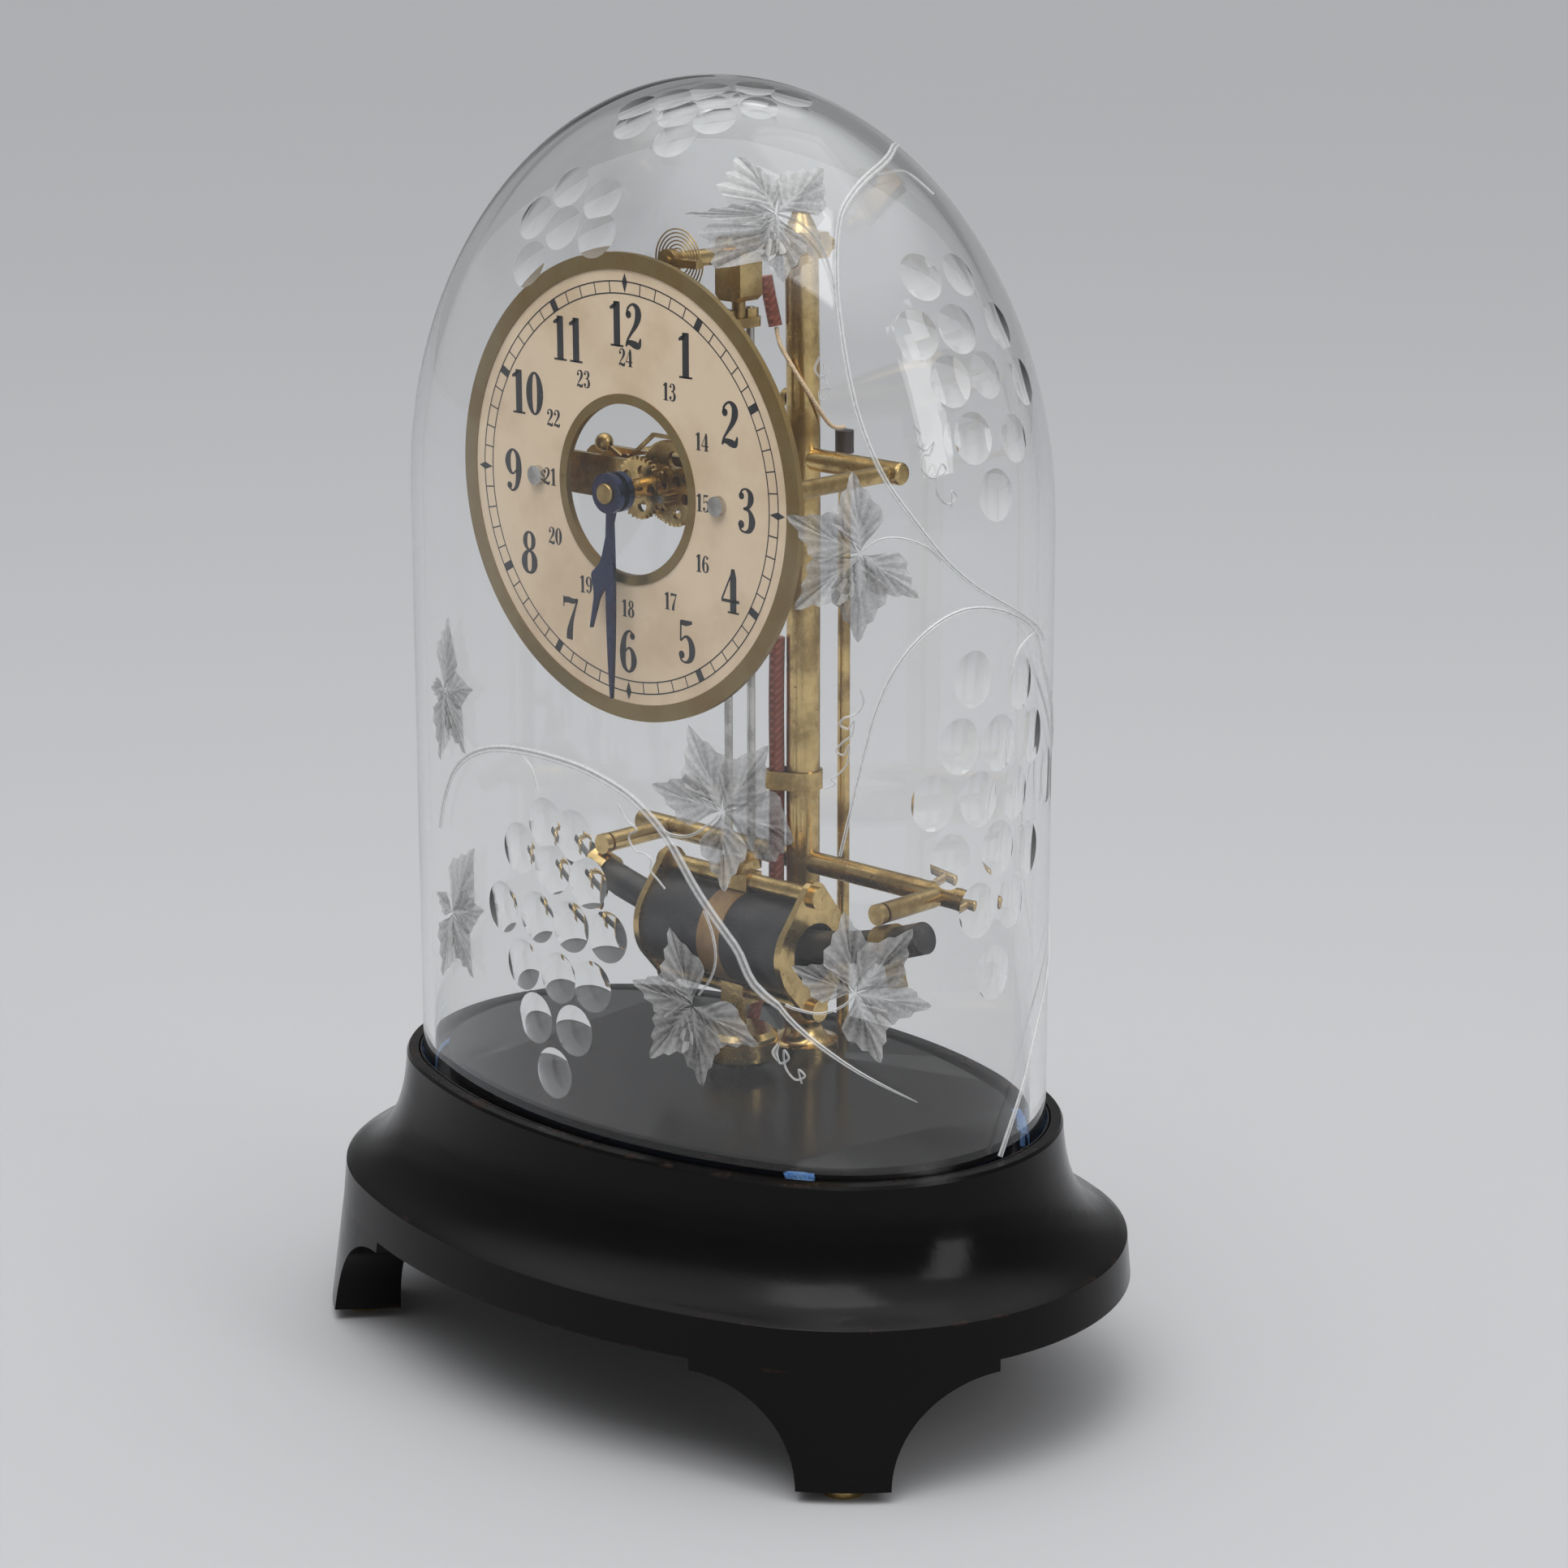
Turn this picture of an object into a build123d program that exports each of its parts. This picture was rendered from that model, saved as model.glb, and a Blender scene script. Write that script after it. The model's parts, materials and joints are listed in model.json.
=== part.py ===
from build123d import *
import math
import os

# Battery pendulum clock on an oval base, in millimetres.
# The origin is on the table under the middle of the oval; +Z is up and the dial faces -Y.

# Fits and clearances
PRESS_GAP = 0.01
RUN_GAP = 0.05
AIR_GAP = 0.3
HEX_SIDES = 6

# Oval base
BASE_LENGTH = 236.0
BASE_WIDTH = 166.0
END_RADIUS = 74.0
FOOT_HEIGHT = 33.0
BAND_SPREAD = 1.0
BAND_RISE = 11.0
OVOLO_INSET = 12.0
OVOLO_RISE = 13.5
COVE_INSET = 5.5
COVE_RISE = 4.5
NECK_INSET = 1.0
NECK_RISE = 13.3
RIM_WIDTH = 3.0
GROOVE_WIDTH = 9.0
GROOVE_DEPTH = 5.3
GROOVE_CLEARANCE = 0.45
PLATFORM_RISE = 1.7
MOULDING_DEPTH = 9.5
CORE_OVERLAP = 4.0

# Bracket feet and levelling screws
FOOT_ANGLE = 48.0
FOOT_WIDTH = 24.0
FOOT_SPAN = 78.0
FOOT_THICKNESS = 14.0
FOOT_SPLAY = 4.0
REAR_FOOT_SPLAY = 0.0
WING_DEPTH = 3.0
SCREW_DISC_RADIUS = 5.5
SCREW_DISC_HEIGHT = 2.9
SCREW_STUD_RADIUS = 2.0
SCREW_STUD_LENGTH = 15.0
SCREW_RING_RADIUS = 70.0

# Battery space under the platform
CELL_RADIUS = 16.5
CELL_LENGTH = 61.0
CELL_Y = -7.0
CELL_TERMINAL_RADIUS = 4.5
CELL_TERMINAL_RISE = 1.5
RECESS_LENGTH = 74.0
RECESS_WIDTH = 36.0
RECESS_ROOF = 5.0
COVER_THICKNESS = 4.0
COVER_MARGIN = 7.0
COVER_SCREW_RADIUS = 1.6
COVER_SCREW_LENGTH = 12.0
CONTACT_THICKNESS = 0.8
CONTACT_WIDTH = 12.0
CONTACT_HEIGHT = 22.0
CONTACT_KNEE = 5.5

# Glass dome and its seal
DOME_SET_IN = 22.0
DOME_WALL = 4.0
DOME_STRAIGHT = 160.2
DOME_CROWN = 110.0
SEAL_THICKNESS = 1.5
SEAL_MARGIN = 0.3

# Column and cross arms
COLUMN_RADIUS = 4.6
COLUMN_Y = 29.7
COLUMN_TOP_RISE = 9.0
COLUMN_POINT = 5.0
COLUMN_FOOT_RADIUS = 10.0
COLUMN_FOOT_HEIGHT = 10.0
COLUMN_FOOT_NECK = 6.4
COLUMN_FOOT_TOE = 2.5
NUT_BORE_RADIUS = 11.0
NUT_SEAT = 9.0
WASHER_RADIUS = 9.5
WASHER_THICKNESS = 1.5
NUT_RADIUS = 8.5
NUT_HEIGHT = 7.0
COLUMN_END = 3.0
ARM_RADIUS = 3.0
ARM_END_ROUND = 1.0
UPPER_ARM_HALF = 36.0
LOWER_ARM_HALF = 62.0

# Pendulum geometry
PENDULUM_Y = 6.0
PIVOT_RISE = 55.9
COIL_Z = 114.5
COIL_RADIUS = 12.5
COIL_BORE_RADIUS = 8.2
COIL_HALF = 25.0
BAND_RADIUS = 12.8
BAND_HALF = 4.0
END_PLATE = 2.0
END_PLATE_RADIUS = 13.5
UPPER_EAR_RISE = 15.3
UPPER_EAR_RADIUS = 4.2
LOWER_EAR_DROP = 15.5
LOWER_EAR_RADIUS = 3.2
TIE_TUBE_RADIUS = 2.4
TIE_ROD_RADIUS = 1.8
COIL_SCREW_RADIUS = 1.2
COIL_SCREW_DEPTH = 6.0
COIL_HEAD_RADIUS = 3.0
COIL_HEAD_HEIGHT = 1.8
ROD_RADIUS = 1.1
ROD_SPACING = 8.5
CROSS_HALF_WIDTH = 3.0
CROSS_THICKNESS = 2.5
CROSS_OVERHANG = 2.6
TOP_CROSS_DROP = 19.0
ROD_NUT_RADIUS = 2.3
ROD_NUT_HEIGHT = 2.2
SADDLE_HALF = 5.0
LUG_HALF = 4.0
LUG_RISE = 3.4
RATING_SCREW_RADIUS = 1.5
RATING_NUT_RADIUS = 9.75
RATING_NUT_HEIGHT = 8.8
RATING_NUT_BEVEL = 1.4
RATING_NUT_TOP = 7.5
RATING_SCREW_END = 0.5

# Magnet, its clips and pillars
MAGNET_RADIUS = 4.25
MAGNET_HALF_ANGLE = 21.0
CLIP_ANGLE = 17.0
CLIP_RISE = 8.2
CLIP_WIDTH = 6.0
CLIP_THICKNESS = 0.9
CLIP_TAB_END = 3.4
MAGNET_PILLAR_RADIUS = 2.7
CLIP_SCREW_RADIUS = 1.5
CLIP_SCREW_DEPTH = 8.0
CLIP_HEAD_RADIUS = 2.8
CLIP_HEAD_HEIGHT = 2.0
SPIGOT_RADIUS = 1.5
SPIGOT_PROUD = 0.6

# Suspension and hairspring
SUSPENSION_RADIUS = 2.0
SUSPENSION_BACK_Y = 41.0
SUSPENSION_STEP_Y = 14.0
JOURNAL_RADIUS = 1.5
JOURNAL_TIP_Y = -20.4
HUB_RADIUS = 2.2
HUB_TIP_Y = -17.2
HANGER_BACK_Y = 10.0
HANGER_FRONT_Y = 2.0
HANGER_HALF = 4.5
HANGER_BEVEL = 1.5
HANGER_TOP = 4.5
HANGER_DEPTH = 12.0
STEM_RADIUS = 1.8
STUD_THICKNESS = 2.4
STUD_RING_RADIUS = 3.2
STUD_ARM_HALF = 1.0
STUD_PIN_RADIUS = 0.4
SPRING_Y = -15.5
SPRING_STEPS = 48
SPRING_WIRE = 0.4
SPRING_INNER = 2.75
SPRING_OUTER = 8.6
SPRING_TURNS = 6
SUSPENSION_NUT_RADIUS = 4.0
SUSPENSION_NUT_LENGTH = 4.0
SIDE_SCREW_RADIUS = 1.4
SIDE_SCREW_HEAD = 2.4
SIDE_HEAD_HEIGHT = 1.8
SIDE_SCREW_DEPTH = 2.4
LOW_SIDE_SCREW_Z = 255.6

# Dial
DIAL_Z = 240.1
DIAL_RADIUS = 59.5
DIAL_RIM_RADIUS = 55.2
DIAL_APERTURE = 21.7
DIAL_RING_RADIUS = 24.2
DIAL_BACK_Y = -33.0
DIAL_THICKNESS = 1.0
DIAL_RIM_RISE = 0.6
PAPER_THICKNESS = 0.3
DIAL_PILLAR_X = 32.2
DIAL_PILLAR_RADIUS = 2.3
DIAL_SCREW_RADIUS = 1.2
DIAL_SCREW_DEPTH = 5.0
DIAL_HEAD_RADIUS = 2.5
DIAL_HEAD_HEIGHT = 1.6

# Movement plates
PLATE_HALF_LENGTH = 37.0
PLATE_HALF_HEIGHT = 5.4
BACK_PLATE_Y = -12.0
BACK_PLATE_THICKNESS = 2.0
FRONT_PLATE_Y = -23.8
FRONT_PLATE_THICKNESS = 1.6

# Wheels: teeth, modules and places along the arbors
MOTION_MODULE = 0.48
CANNON_TEETH = 10
MINUTE_WHEEL_TEETH = 30
MINUTE_PINION_TEETH = 8
HOUR_WHEEL_TEETH = 32
MINUTE_WHEEL_ANGLE = -10.0
CENTRE_MODULE = 0.3
CENTRE_TEETH = 70
COUNT_TEETH = 60
COUNT_RADIUS = 6.2
TOOTH_ADDENDUM = 0.75
TOOTH_DEDENDUM = 1.15
TIP_SHARE = 0.2
ROOT_SHARE = 0.5
WHEEL_THICKNESS = 1.2
CENTRE_WHEEL_Y = -18.4
MINUTE_WHEEL_Y = -26.4
HOUR_WHEEL_Y = -29.3
PINION_TIP_Y = -31.8
CANNON_BACK_Y = -26.0
CANNON_FRONT_Y = -28.2
ARBOR_RADIUS = 0.9
CANNON_TUBE_RADIUS = 1.6
CANNON_TIP_Y = -42.0
HOUR_PIPE_RADIUS = 2.5
HOUR_PIPE_TIP_Y = -38.6
STUD_RADIUS = 0.9
WHEEL_HOLES = 5
WINDOW_RING = 0.6
WINDOW_SIZE = 0.2

# Hands
HOUR_HAND_Y = -37.2
HOUR_HAND_LENGTH = 37.5
HOUR_HAND_ANGLE = 195.0
HOUR_HAND_BULB = 3.1
HOUR_HAND_BULB_START = 17.5
HOUR_HAND_BULB_AT = 23.5
HOUR_HAND_BULB_END = 31.0
MINUTE_HAND_Y = -39.7
MINUTE_HAND_LENGTH = 53.0
MINUTE_HAND_ANGLE = 180.0
MINUTE_HAND_WIDTH = 2.8
HAND_DISC_RADIUS = 5.1
HAND_DISC_THICKNESS = 1.8
HAND_NECK_HALF = 0.7
HAND_THICKNESS = 1.0
HAND_TIP_HALF = 0.25
BOSS_RADIUS = 2.7
BOSS_TIP_Y = -42.6

# Worm arbor, fork lever and holding pawl
WORM_RADIUS = 1.4
WORM_HALF = 4.0
WORM_ARBOR_RADIUS = 0.8
COUNT_WHEEL_RISE = 11.4
COUNT_THICKNESS = 1.0
COCK_THICKNESS = 1.5
COCK_HALF_WIDTH = 2.5
LOWER_COCK_DROP = 12.1
UPPER_COCK_RISE = 15.9
UPPER_COCK_LEG_X = 18.0
COCK_FOOT_RISE = 8.0
COCK_OVERHANG = 2.5
PIN_DROP = 45.0
PIN_RADIUS = 1.0
PIN_TIP_Y = -11.0
PIN_STRIP_HALF = 2.2
FORK_BACK_Y = -8.4
FORK_THICKNESS = 1.2
FORK_HUB_RADIUS = 2.6
FORK_STUD_RADIUS = 1.2
FORK_TIP = 14.5
FORK_PLAY = 0.45
FORK_TINE = 1.4
CLAW_X = 8.0
CLAW_HEIGHT = 12.4
PAWL_X = -14.0
PAWL_RISE = 3.9
PAWL_BACK_Y = -20.6
PAWL_THICKNESS = 0.8
PAWL_HALF = 0.5
PAWL_STUD_RADIUS = 1.0
PAWL_HUB_RADIUS = 2.0
BALL_RADIUS = 2.4
BALL_X = -22.0
BALL_RISE = 7.9
PAWL_ELBOW_X = -4.0
PAWL_TIP_X = 6.2
PAWL_TIP_RISE = 11.9

# Leads
LEAD_TUBE_RADIUS = 1.75
LEAD_TUBE_X = 2.0
LEAD_TUBE_Y = 44.0
LEAD_TUBE_TOP_Z = 240.0
LEAD_TUBE_SEAT = 6.0
CAP_RADIUS = 2.6
CAP_HEIGHT = 6.0
WIRE_RADIUS = 0.6
UPPER_SLEEVE_RADIUS = 1.7
LOWER_SLEEVE_RADIUS = 1.9
CORNER_SHARE = 0.45
SLEEVE_CLIP_SPOT = (-4.9, 24.9, 153.0)
SLEEVE_CLIP_HALF = 2.5
SLEEVE_CLIP_THICKNESS = 0.8
UPPER_SLEEVE_POINTS = [(-7.0, 23.2, 288.0), (-6.2, 23.9, 281.5), (-4.9, 24.5, 275.0)]
UPPER_LEAD_POINTS = [
    (-4.6, 24.4, 274.6),
    (-3.4, 23.6, 271.5),
    (-0.6, 23.4, 268.0),
    (2.8, 24.0, 263.5),
    (5.2, 26.6, 258.0),
    (6.0, 30.4, 252.5),
    (5.2, 35.0, 248.5),
    (4.2, 39.4, 247.3),
    (2.4, 43.4, 247.0),
]
LOWER_LEAD_POINTS = [(-1.4, 34.9, 230.9), (-1.8, 37.6, 231.6), (-0.4, 40.0, 231.4), (0.9, 41.8, 230.7)]
LOWER_SLEEVE_POINTS = [
    (-10.4, 20.6, 77.4),
    (-10.0, 20.8, 86.0),
    (-7.6, 22.6, 97.0),
    (-5.2, 24.8, 109.0),
    (-4.9, 24.6, 128.0),
    SLEEVE_CLIP_SPOT,
    (-5.0, 24.6, 178.0),
    (-4.8, 24.9, 192.0),
]

# Heights and places worked out from the driving sizes
ARRIS_Z = FOOT_HEIGHT + BAND_RISE
OVOLO_TOP_Z = ARRIS_Z + OVOLO_RISE
NECK_Z = OVOLO_TOP_Z + COVE_RISE
RIM_Z = NECK_Z + NECK_RISE
PLATFORM_Z = RIM_Z + PLATFORM_RISE
GROOVE_FLOOR_Z = RIM_Z - GROOVE_DEPTH
NECK_FOOT_INSET = OVOLO_INSET + COVE_INSET
RIM_INSET = NECK_FOOT_INSET + NECK_INSET
GROOVE_INSET = RIM_INSET + RIM_WIDTH
PLATFORM_INSET = GROOVE_INSET + GROOVE_WIDTH
MOULDING_INSET = PLATFORM_INSET + MOULDING_DEPTH
END_CENTRE = BASE_LENGTH / 2 - END_RADIUS
SIDE_RADIUS = (END_CENTRE**2 + (BASE_WIDTH / 2) ** 2 - END_RADIUS**2) / (BASE_WIDTH - 2 * END_RADIUS)
SIDE_CENTRE = SIDE_RADIUS - BASE_WIDTH / 2
TANGENT_ANGLE = math.degrees(math.atan2(SIDE_CENTRE, END_CENTRE))
FRONT_FOOT_Z = SCREW_DISC_HEIGHT + AIR_GAP
COVER_TOP_Z = FOOT_HEIGHT + COVER_THICKNESS
RECESS_ROOF_Z = PLATFORM_Z - RECESS_ROOF
CELL_Z = (COVER_TOP_Z + RECESS_ROOF_Z) / 2
DOME_LENGTH = BASE_LENGTH - 2 * DOME_SET_IN
DOME_WIDTH = BASE_WIDTH - 2 * DOME_SET_IN
DOME_BOTTOM_Z = GROOVE_FLOOR_Z + SEAL_THICKNESS + AIR_GAP
DOME_SPRING_Z = DOME_BOTTOM_Z + DOME_STRAIGHT
NUT_SEAT_Z = PLATFORM_Z - NUT_SEAT
PIVOT_Z = DIAL_Z + PIVOT_RISE
COLUMN_TOP_Z = PIVOT_Z + COLUMN_TOP_RISE
TOP_CROSS_Z = PIVOT_Z - TOP_CROSS_DROP
COIL_DROP = PIVOT_Z - COIL_Z
COUNT_WHEEL_Z = DIAL_Z + COUNT_WHEEL_RISE
LOWER_COCK_Z = DIAL_Z - LOWER_COCK_DROP
UPPER_COCK_Z = DIAL_Z + UPPER_COCK_RISE
PAWL_Z = DIAL_Z + PAWL_RISE
BALL_Z = DIAL_Z + BALL_RISE
PAWL_TIP_Z = DIAL_Z + PAWL_TIP_RISE
UPPER_TIE_Z = COIL_Z + UPPER_EAR_RISE
LOWER_TIE_Z = COIL_Z - LOWER_EAR_DROP
BOTTOM_CROSS_Z = UPPER_TIE_Z + TIE_TUBE_RADIUS
LUG_BOTTOM_Z = LOWER_TIE_Z - LUG_RISE
RATING_NUT_TOP_Z = LUG_BOTTOM_Z - RATING_NUT_TOP
RATING_NUT_BOTTOM_Z = RATING_NUT_TOP_Z - RATING_NUT_HEIGHT
CLIP_SCREW_REACH = COIL_DROP - CLIP_RISE
MAGNET_PILLAR_X = CLIP_SCREW_REACH * math.sin(math.radians(CLIP_ANGLE))
LOWER_ARM_Z = PIVOT_Z - CLIP_SCREW_REACH * math.cos(math.radians(CLIP_ANGLE))
CLIP_BACK_Y = PENDULUM_Y + CLIP_THICKNESS / 2
MINUTE_CENTRE = MOTION_MODULE * (CANNON_TEETH + MINUTE_WHEEL_TEETH) / 2
MINUTE_X = MINUTE_CENTRE * math.cos(math.radians(MINUTE_WHEEL_ANGLE))
MINUTE_Z = DIAL_Z + MINUTE_CENTRE * math.sin(math.radians(MINUTE_WHEEL_ANGLE))
CENTRE_TIP = CENTRE_MODULE * (CENTRE_TEETH / 2 + TOOTH_ADDENDUM)
WORM_X = CENTRE_TIP + AIR_GAP + WORM_RADIUS
WORM_Y = CENTRE_WHEEL_Y - WHEEL_THICKNESS / 2
FORK_ARM = PIVOT_Z - PIN_DROP - DIAL_Z
DIAL_FRONT_Y = DIAL_BACK_Y - DIAL_THICKNESS
UPPER_ARM_Z = DIAL_Z
PAPER_FRONT_Y = DIAL_FRONT_Y - PAPER_THICKNESS

SLEEVE_CLIP_Z = SLEEVE_CLIP_SPOT[2]

BASE_UP = (Align.CENTER, Align.CENTER, Align.MIN)
BOTH_SIDES = (-1, 1)


# Shared shapes


def rod_x(radius, left, right, y, z, mode=Mode.ADD):
    """Round bar along X."""
    with Locations(Location((left, y, z), (0, 90, 0))):
        Cylinder(radius, right - left, align=BASE_UP, mode=mode)


def rod_y(radius, back, tip, x, z, mode=Mode.ADD):
    """Round bar along Y, from its back end to its front tip."""
    with Locations(Location((x, back, z), (90, 0, 0))):
        Cylinder(radius, back - tip, align=BASE_UP, mode=mode)


def rod_z(radius, bottom, top, x, y, mode=Mode.ADD):
    """Round bar along Z."""
    with Locations((x, y, bottom)):
        Cylinder(radius, top - bottom, align=BASE_UP, mode=mode)


def block(x_range, y_range, z_range, mode=Mode.ADD):
    """Square-edged block between three pairs of limits."""
    middle = [(low + high) / 2 for low, high in (x_range, y_range, z_range)]
    with Locations(tuple(middle)):
        Box(x_range[1] - x_range[0], y_range[1] - y_range[0], z_range[1] - z_range[0], mode=mode)


def facing_front(y):
    """Upright plane at y whose extrusions run towards the front."""
    return Plane.XZ.offset(-y)


def oval_outline(inset):
    """The oval's tangent arcs, moved in by inset, starting at the +X end."""
    end_radius = END_RADIUS - inset
    side_radius = SIDE_RADIUS - inset
    side_sweep = 180 - 2 * TANGENT_ANGLE
    with BuildLine() as outline:
        CenterArc((END_CENTRE, 0), end_radius, 0, TANGENT_ANGLE)
        CenterArc((0, -SIDE_CENTRE), side_radius, TANGENT_ANGLE, side_sweep)
        CenterArc((-END_CENTRE, 0), end_radius, 180 - TANGENT_ANGLE, 2 * TANGENT_ANGLE)
        CenterArc((0, SIDE_CENTRE), side_radius, 180 + TANGENT_ANGLE, side_sweep)
        CenterArc((END_CENTRE, 0), end_radius, -TANGENT_ANGLE, TANGENT_ANGLE)
    return outline.wires()[0]


def oval_face(inset, height):
    """Filled oval at a height."""
    with BuildSketch(Plane.XY.offset(height)) as face:
        make_face(oval_outline(inset).edges())
    return face.sketch


def toothed_disc(plane, module, teeth, centre=(0, 0), first_angle=0.0):
    """Gear outline with straight-sided teeth, the first tooth centred on first_angle."""
    pitch_radius = module * teeth / 2
    tip_radius = pitch_radius + TOOTH_ADDENDUM * module
    root_radius = pitch_radius - TOOTH_DEDENDUM * module
    step = 360 / teeth
    points = []
    for tooth in range(teeth):
        for radius, share in (
            (root_radius, -ROOT_SHARE),
            (tip_radius, -TIP_SHARE),
            (tip_radius, TIP_SHARE),
            (root_radius, ROOT_SHARE),
        ):
            angle = math.radians(first_angle + (tooth + share / 2) * step)
            points.append((centre[0] + radius * math.cos(angle), centre[1] + radius * math.sin(angle)))
    with BuildSketch(plane) as outline:
        with BuildLine():
            Polyline(*points, close=True)
        make_face()
    return outline.sketch


def lead_path(points):
    """Straight runs joined by the largest tangent arcs that they leave room for."""
    spots = [Vector(*point) for point in points]
    radii = []
    for before, corner, after in zip(spots, spots[1:], spots[2:]):
        half_turn = math.radians((corner - before).get_angle(after - corner)) / 2
        shorter = min((corner - before).length, (after - corner).length)
        radii.append(CORNER_SHARE * shorter / math.tan(half_turn))
    with BuildLine() as path:
        FilletPolyline(*spots, radius=radii)
    print("lead radii", [round(radius, 1) for radius in radii], "length", round(path.wires()[0].length, 1))
    return path.wires()[0]


def lead_along(points, radius):
    """Round lead swept along its points."""
    path = lead_path(points)
    with BuildSketch(Plane(path @ 0, z_dir=path % 0)) as section:
        Circle(radius)
    sweep(section.sketch, path=path)


# Base

with BuildPart() as base_plinth:
    section_end = BASE_LENGTH / 2
    with BuildSketch(Plane.XZ) as moulding:
        with BuildLine():
            Line((section_end + BAND_SPREAD, FOOT_HEIGHT), (section_end, ARRIS_Z))
            TangentArc((section_end, ARRIS_Z), (section_end - OVOLO_INSET, OVOLO_TOP_Z), tangent=(0, 1))
            TangentArc(
                (section_end - OVOLO_INSET, OVOLO_TOP_Z),
                (section_end - NECK_FOOT_INSET, NECK_Z),
                tangent=(-1, 0),
            )
            Polyline(
                (section_end - NECK_FOOT_INSET, NECK_Z),
                (section_end - RIM_INSET, RIM_Z),
                (section_end - GROOVE_INSET, RIM_Z),
                (section_end - GROOVE_INSET, GROOVE_FLOOR_Z),
                (section_end - PLATFORM_INSET, GROOVE_FLOOR_Z),
                (section_end - PLATFORM_INSET, PLATFORM_Z),
                (section_end - MOULDING_INSET, PLATFORM_Z),
                (section_end - MOULDING_INSET, FOOT_HEIGHT),
                (section_end + BAND_SPREAD, FOOT_HEIGHT),
            )
        make_face()
    sweep(path=oval_outline(0))
    extrude(oval_face(MOULDING_INSET - CORE_OVERLAP, FOOT_HEIGHT), amount=PLATFORM_Z - FOOT_HEIGHT)
    # The glass stands clear of the groove on both sides
    with BuildSketch(Plane.XY.offset(GROOVE_FLOOR_Z)):
        Ellipse(DOME_LENGTH / 2 + GROOVE_CLEARANCE, DOME_WIDTH / 2 + GROOVE_CLEARANCE)
        Ellipse(
            DOME_LENGTH / 2 - DOME_WALL - GROOVE_CLEARANCE,
            DOME_WIDTH / 2 - DOME_WALL - GROOVE_CLEARANCE,
            mode=Mode.SUBTRACT,
        )
    extrude(amount=PLATFORM_Z - GROOVE_FLOOR_Z, mode=Mode.SUBTRACT)
    recess_half = RECESS_LENGTH / 2
    recess_side = RECESS_WIDTH / 2
    block(
        (-recess_half, recess_half),
        (CELL_Y - recess_side, CELL_Y + recess_side),
        (FOOT_HEIGHT, RECESS_ROOF_Z),
        mode=Mode.SUBTRACT,
    )
    block(
        (-recess_half - COVER_MARGIN, recess_half + COVER_MARGIN),
        (CELL_Y - recess_side - COVER_MARGIN, CELL_Y + recess_side + COVER_MARGIN),
        (FOOT_HEIGHT, COVER_TOP_Z),
        mode=Mode.SUBTRACT,
    )
    cover_screw_spots = [
        (side * (recess_half + COVER_MARGIN / 2), CELL_Y + end * recess_side)
        for side in BOTH_SIDES
        for end in BOTH_SIDES
    ]
    for spot_x, spot_y in cover_screw_spots:
        rod_z(
            COVER_SCREW_RADIUS + PRESS_GAP,
            FOOT_HEIGHT,
            FOOT_HEIGHT + COVER_SCREW_LENGTH,
            spot_x,
            spot_y,
            mode=Mode.SUBTRACT,
        )
    rod_z(NUT_BORE_RADIUS, FOOT_HEIGHT, NUT_SEAT_Z, 0, COLUMN_Y, mode=Mode.SUBTRACT)
    rod_z(COLUMN_RADIUS + RUN_GAP, NUT_SEAT_Z, PLATFORM_Z, 0, COLUMN_Y, mode=Mode.SUBTRACT)
    rod_z(
        LEAD_TUBE_RADIUS + PRESS_GAP,
        PLATFORM_Z - LEAD_TUBE_SEAT,
        PLATFORM_Z,
        LEAD_TUBE_X,
        LEAD_TUBE_Y,
        mode=Mode.SUBTRACT,
    )

with BuildPart() as base_cover:
    block(
        (-recess_half - COVER_MARGIN + AIR_GAP, recess_half + COVER_MARGIN - AIR_GAP),
        (
            CELL_Y - recess_side - COVER_MARGIN + AIR_GAP,
            CELL_Y + recess_side + COVER_MARGIN - AIR_GAP,
        ),
        (FOOT_HEIGHT, COVER_TOP_Z),
    )
    for spot_x, spot_y in cover_screw_spots:
        rod_z(
            COVER_SCREW_RADIUS + PRESS_GAP, FOOT_HEIGHT, COVER_TOP_Z, spot_x, spot_y, mode=Mode.SUBTRACT
        )

with BuildPart() as cover_screws:
    for spot_x, spot_y in cover_screw_spots:
        rod_z(COVER_SCREW_RADIUS, FOOT_HEIGHT, FOOT_HEIGHT + COVER_SCREW_LENGTH, spot_x, spot_y)

with BuildPart() as battery_cell:
    cell_half = CELL_LENGTH / 2
    rod_x(CELL_RADIUS, -cell_half, cell_half, CELL_Y, CELL_Z)
    rod_x(CELL_TERMINAL_RADIUS, cell_half, cell_half + CELL_TERMINAL_RISE, CELL_Y, CELL_Z)

with BuildPart() as battery_contacts:
    # Each strip stands on the recess wall and leans out to touch its end of the cell
    for side, cell_end in ((-1, cell_half), (1, cell_half + CELL_TERMINAL_RISE)):
        with BuildSketch(facing_front(CELL_Y + CONTACT_WIDTH / 2)):
            with BuildLine():
                Polyline(
                    (side * recess_half, CELL_Z - CONTACT_HEIGHT / 2),
                    (side * recess_half, CELL_Z + CONTACT_HEIGHT / 2),
                    (side * (recess_half - CONTACT_THICKNESS), CELL_Z + CONTACT_HEIGHT / 2),
                    (side * cell_end, CELL_Z + CONTACT_THICKNESS),
                    (side * cell_end, CELL_Z - CONTACT_THICKNESS),
                    (side * (cell_end + CONTACT_THICKNESS), CELL_Z - CONTACT_THICKNESS),
                    (side * (recess_half - CONTACT_THICKNESS), CELL_Z + CONTACT_KNEE),
                    (side * (recess_half - CONTACT_THICKNESS), CELL_Z - CONTACT_HEIGHT / 2),
                    close=True,
                )
            make_face()
        extrude(amount=CONTACT_WIDTH)


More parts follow.
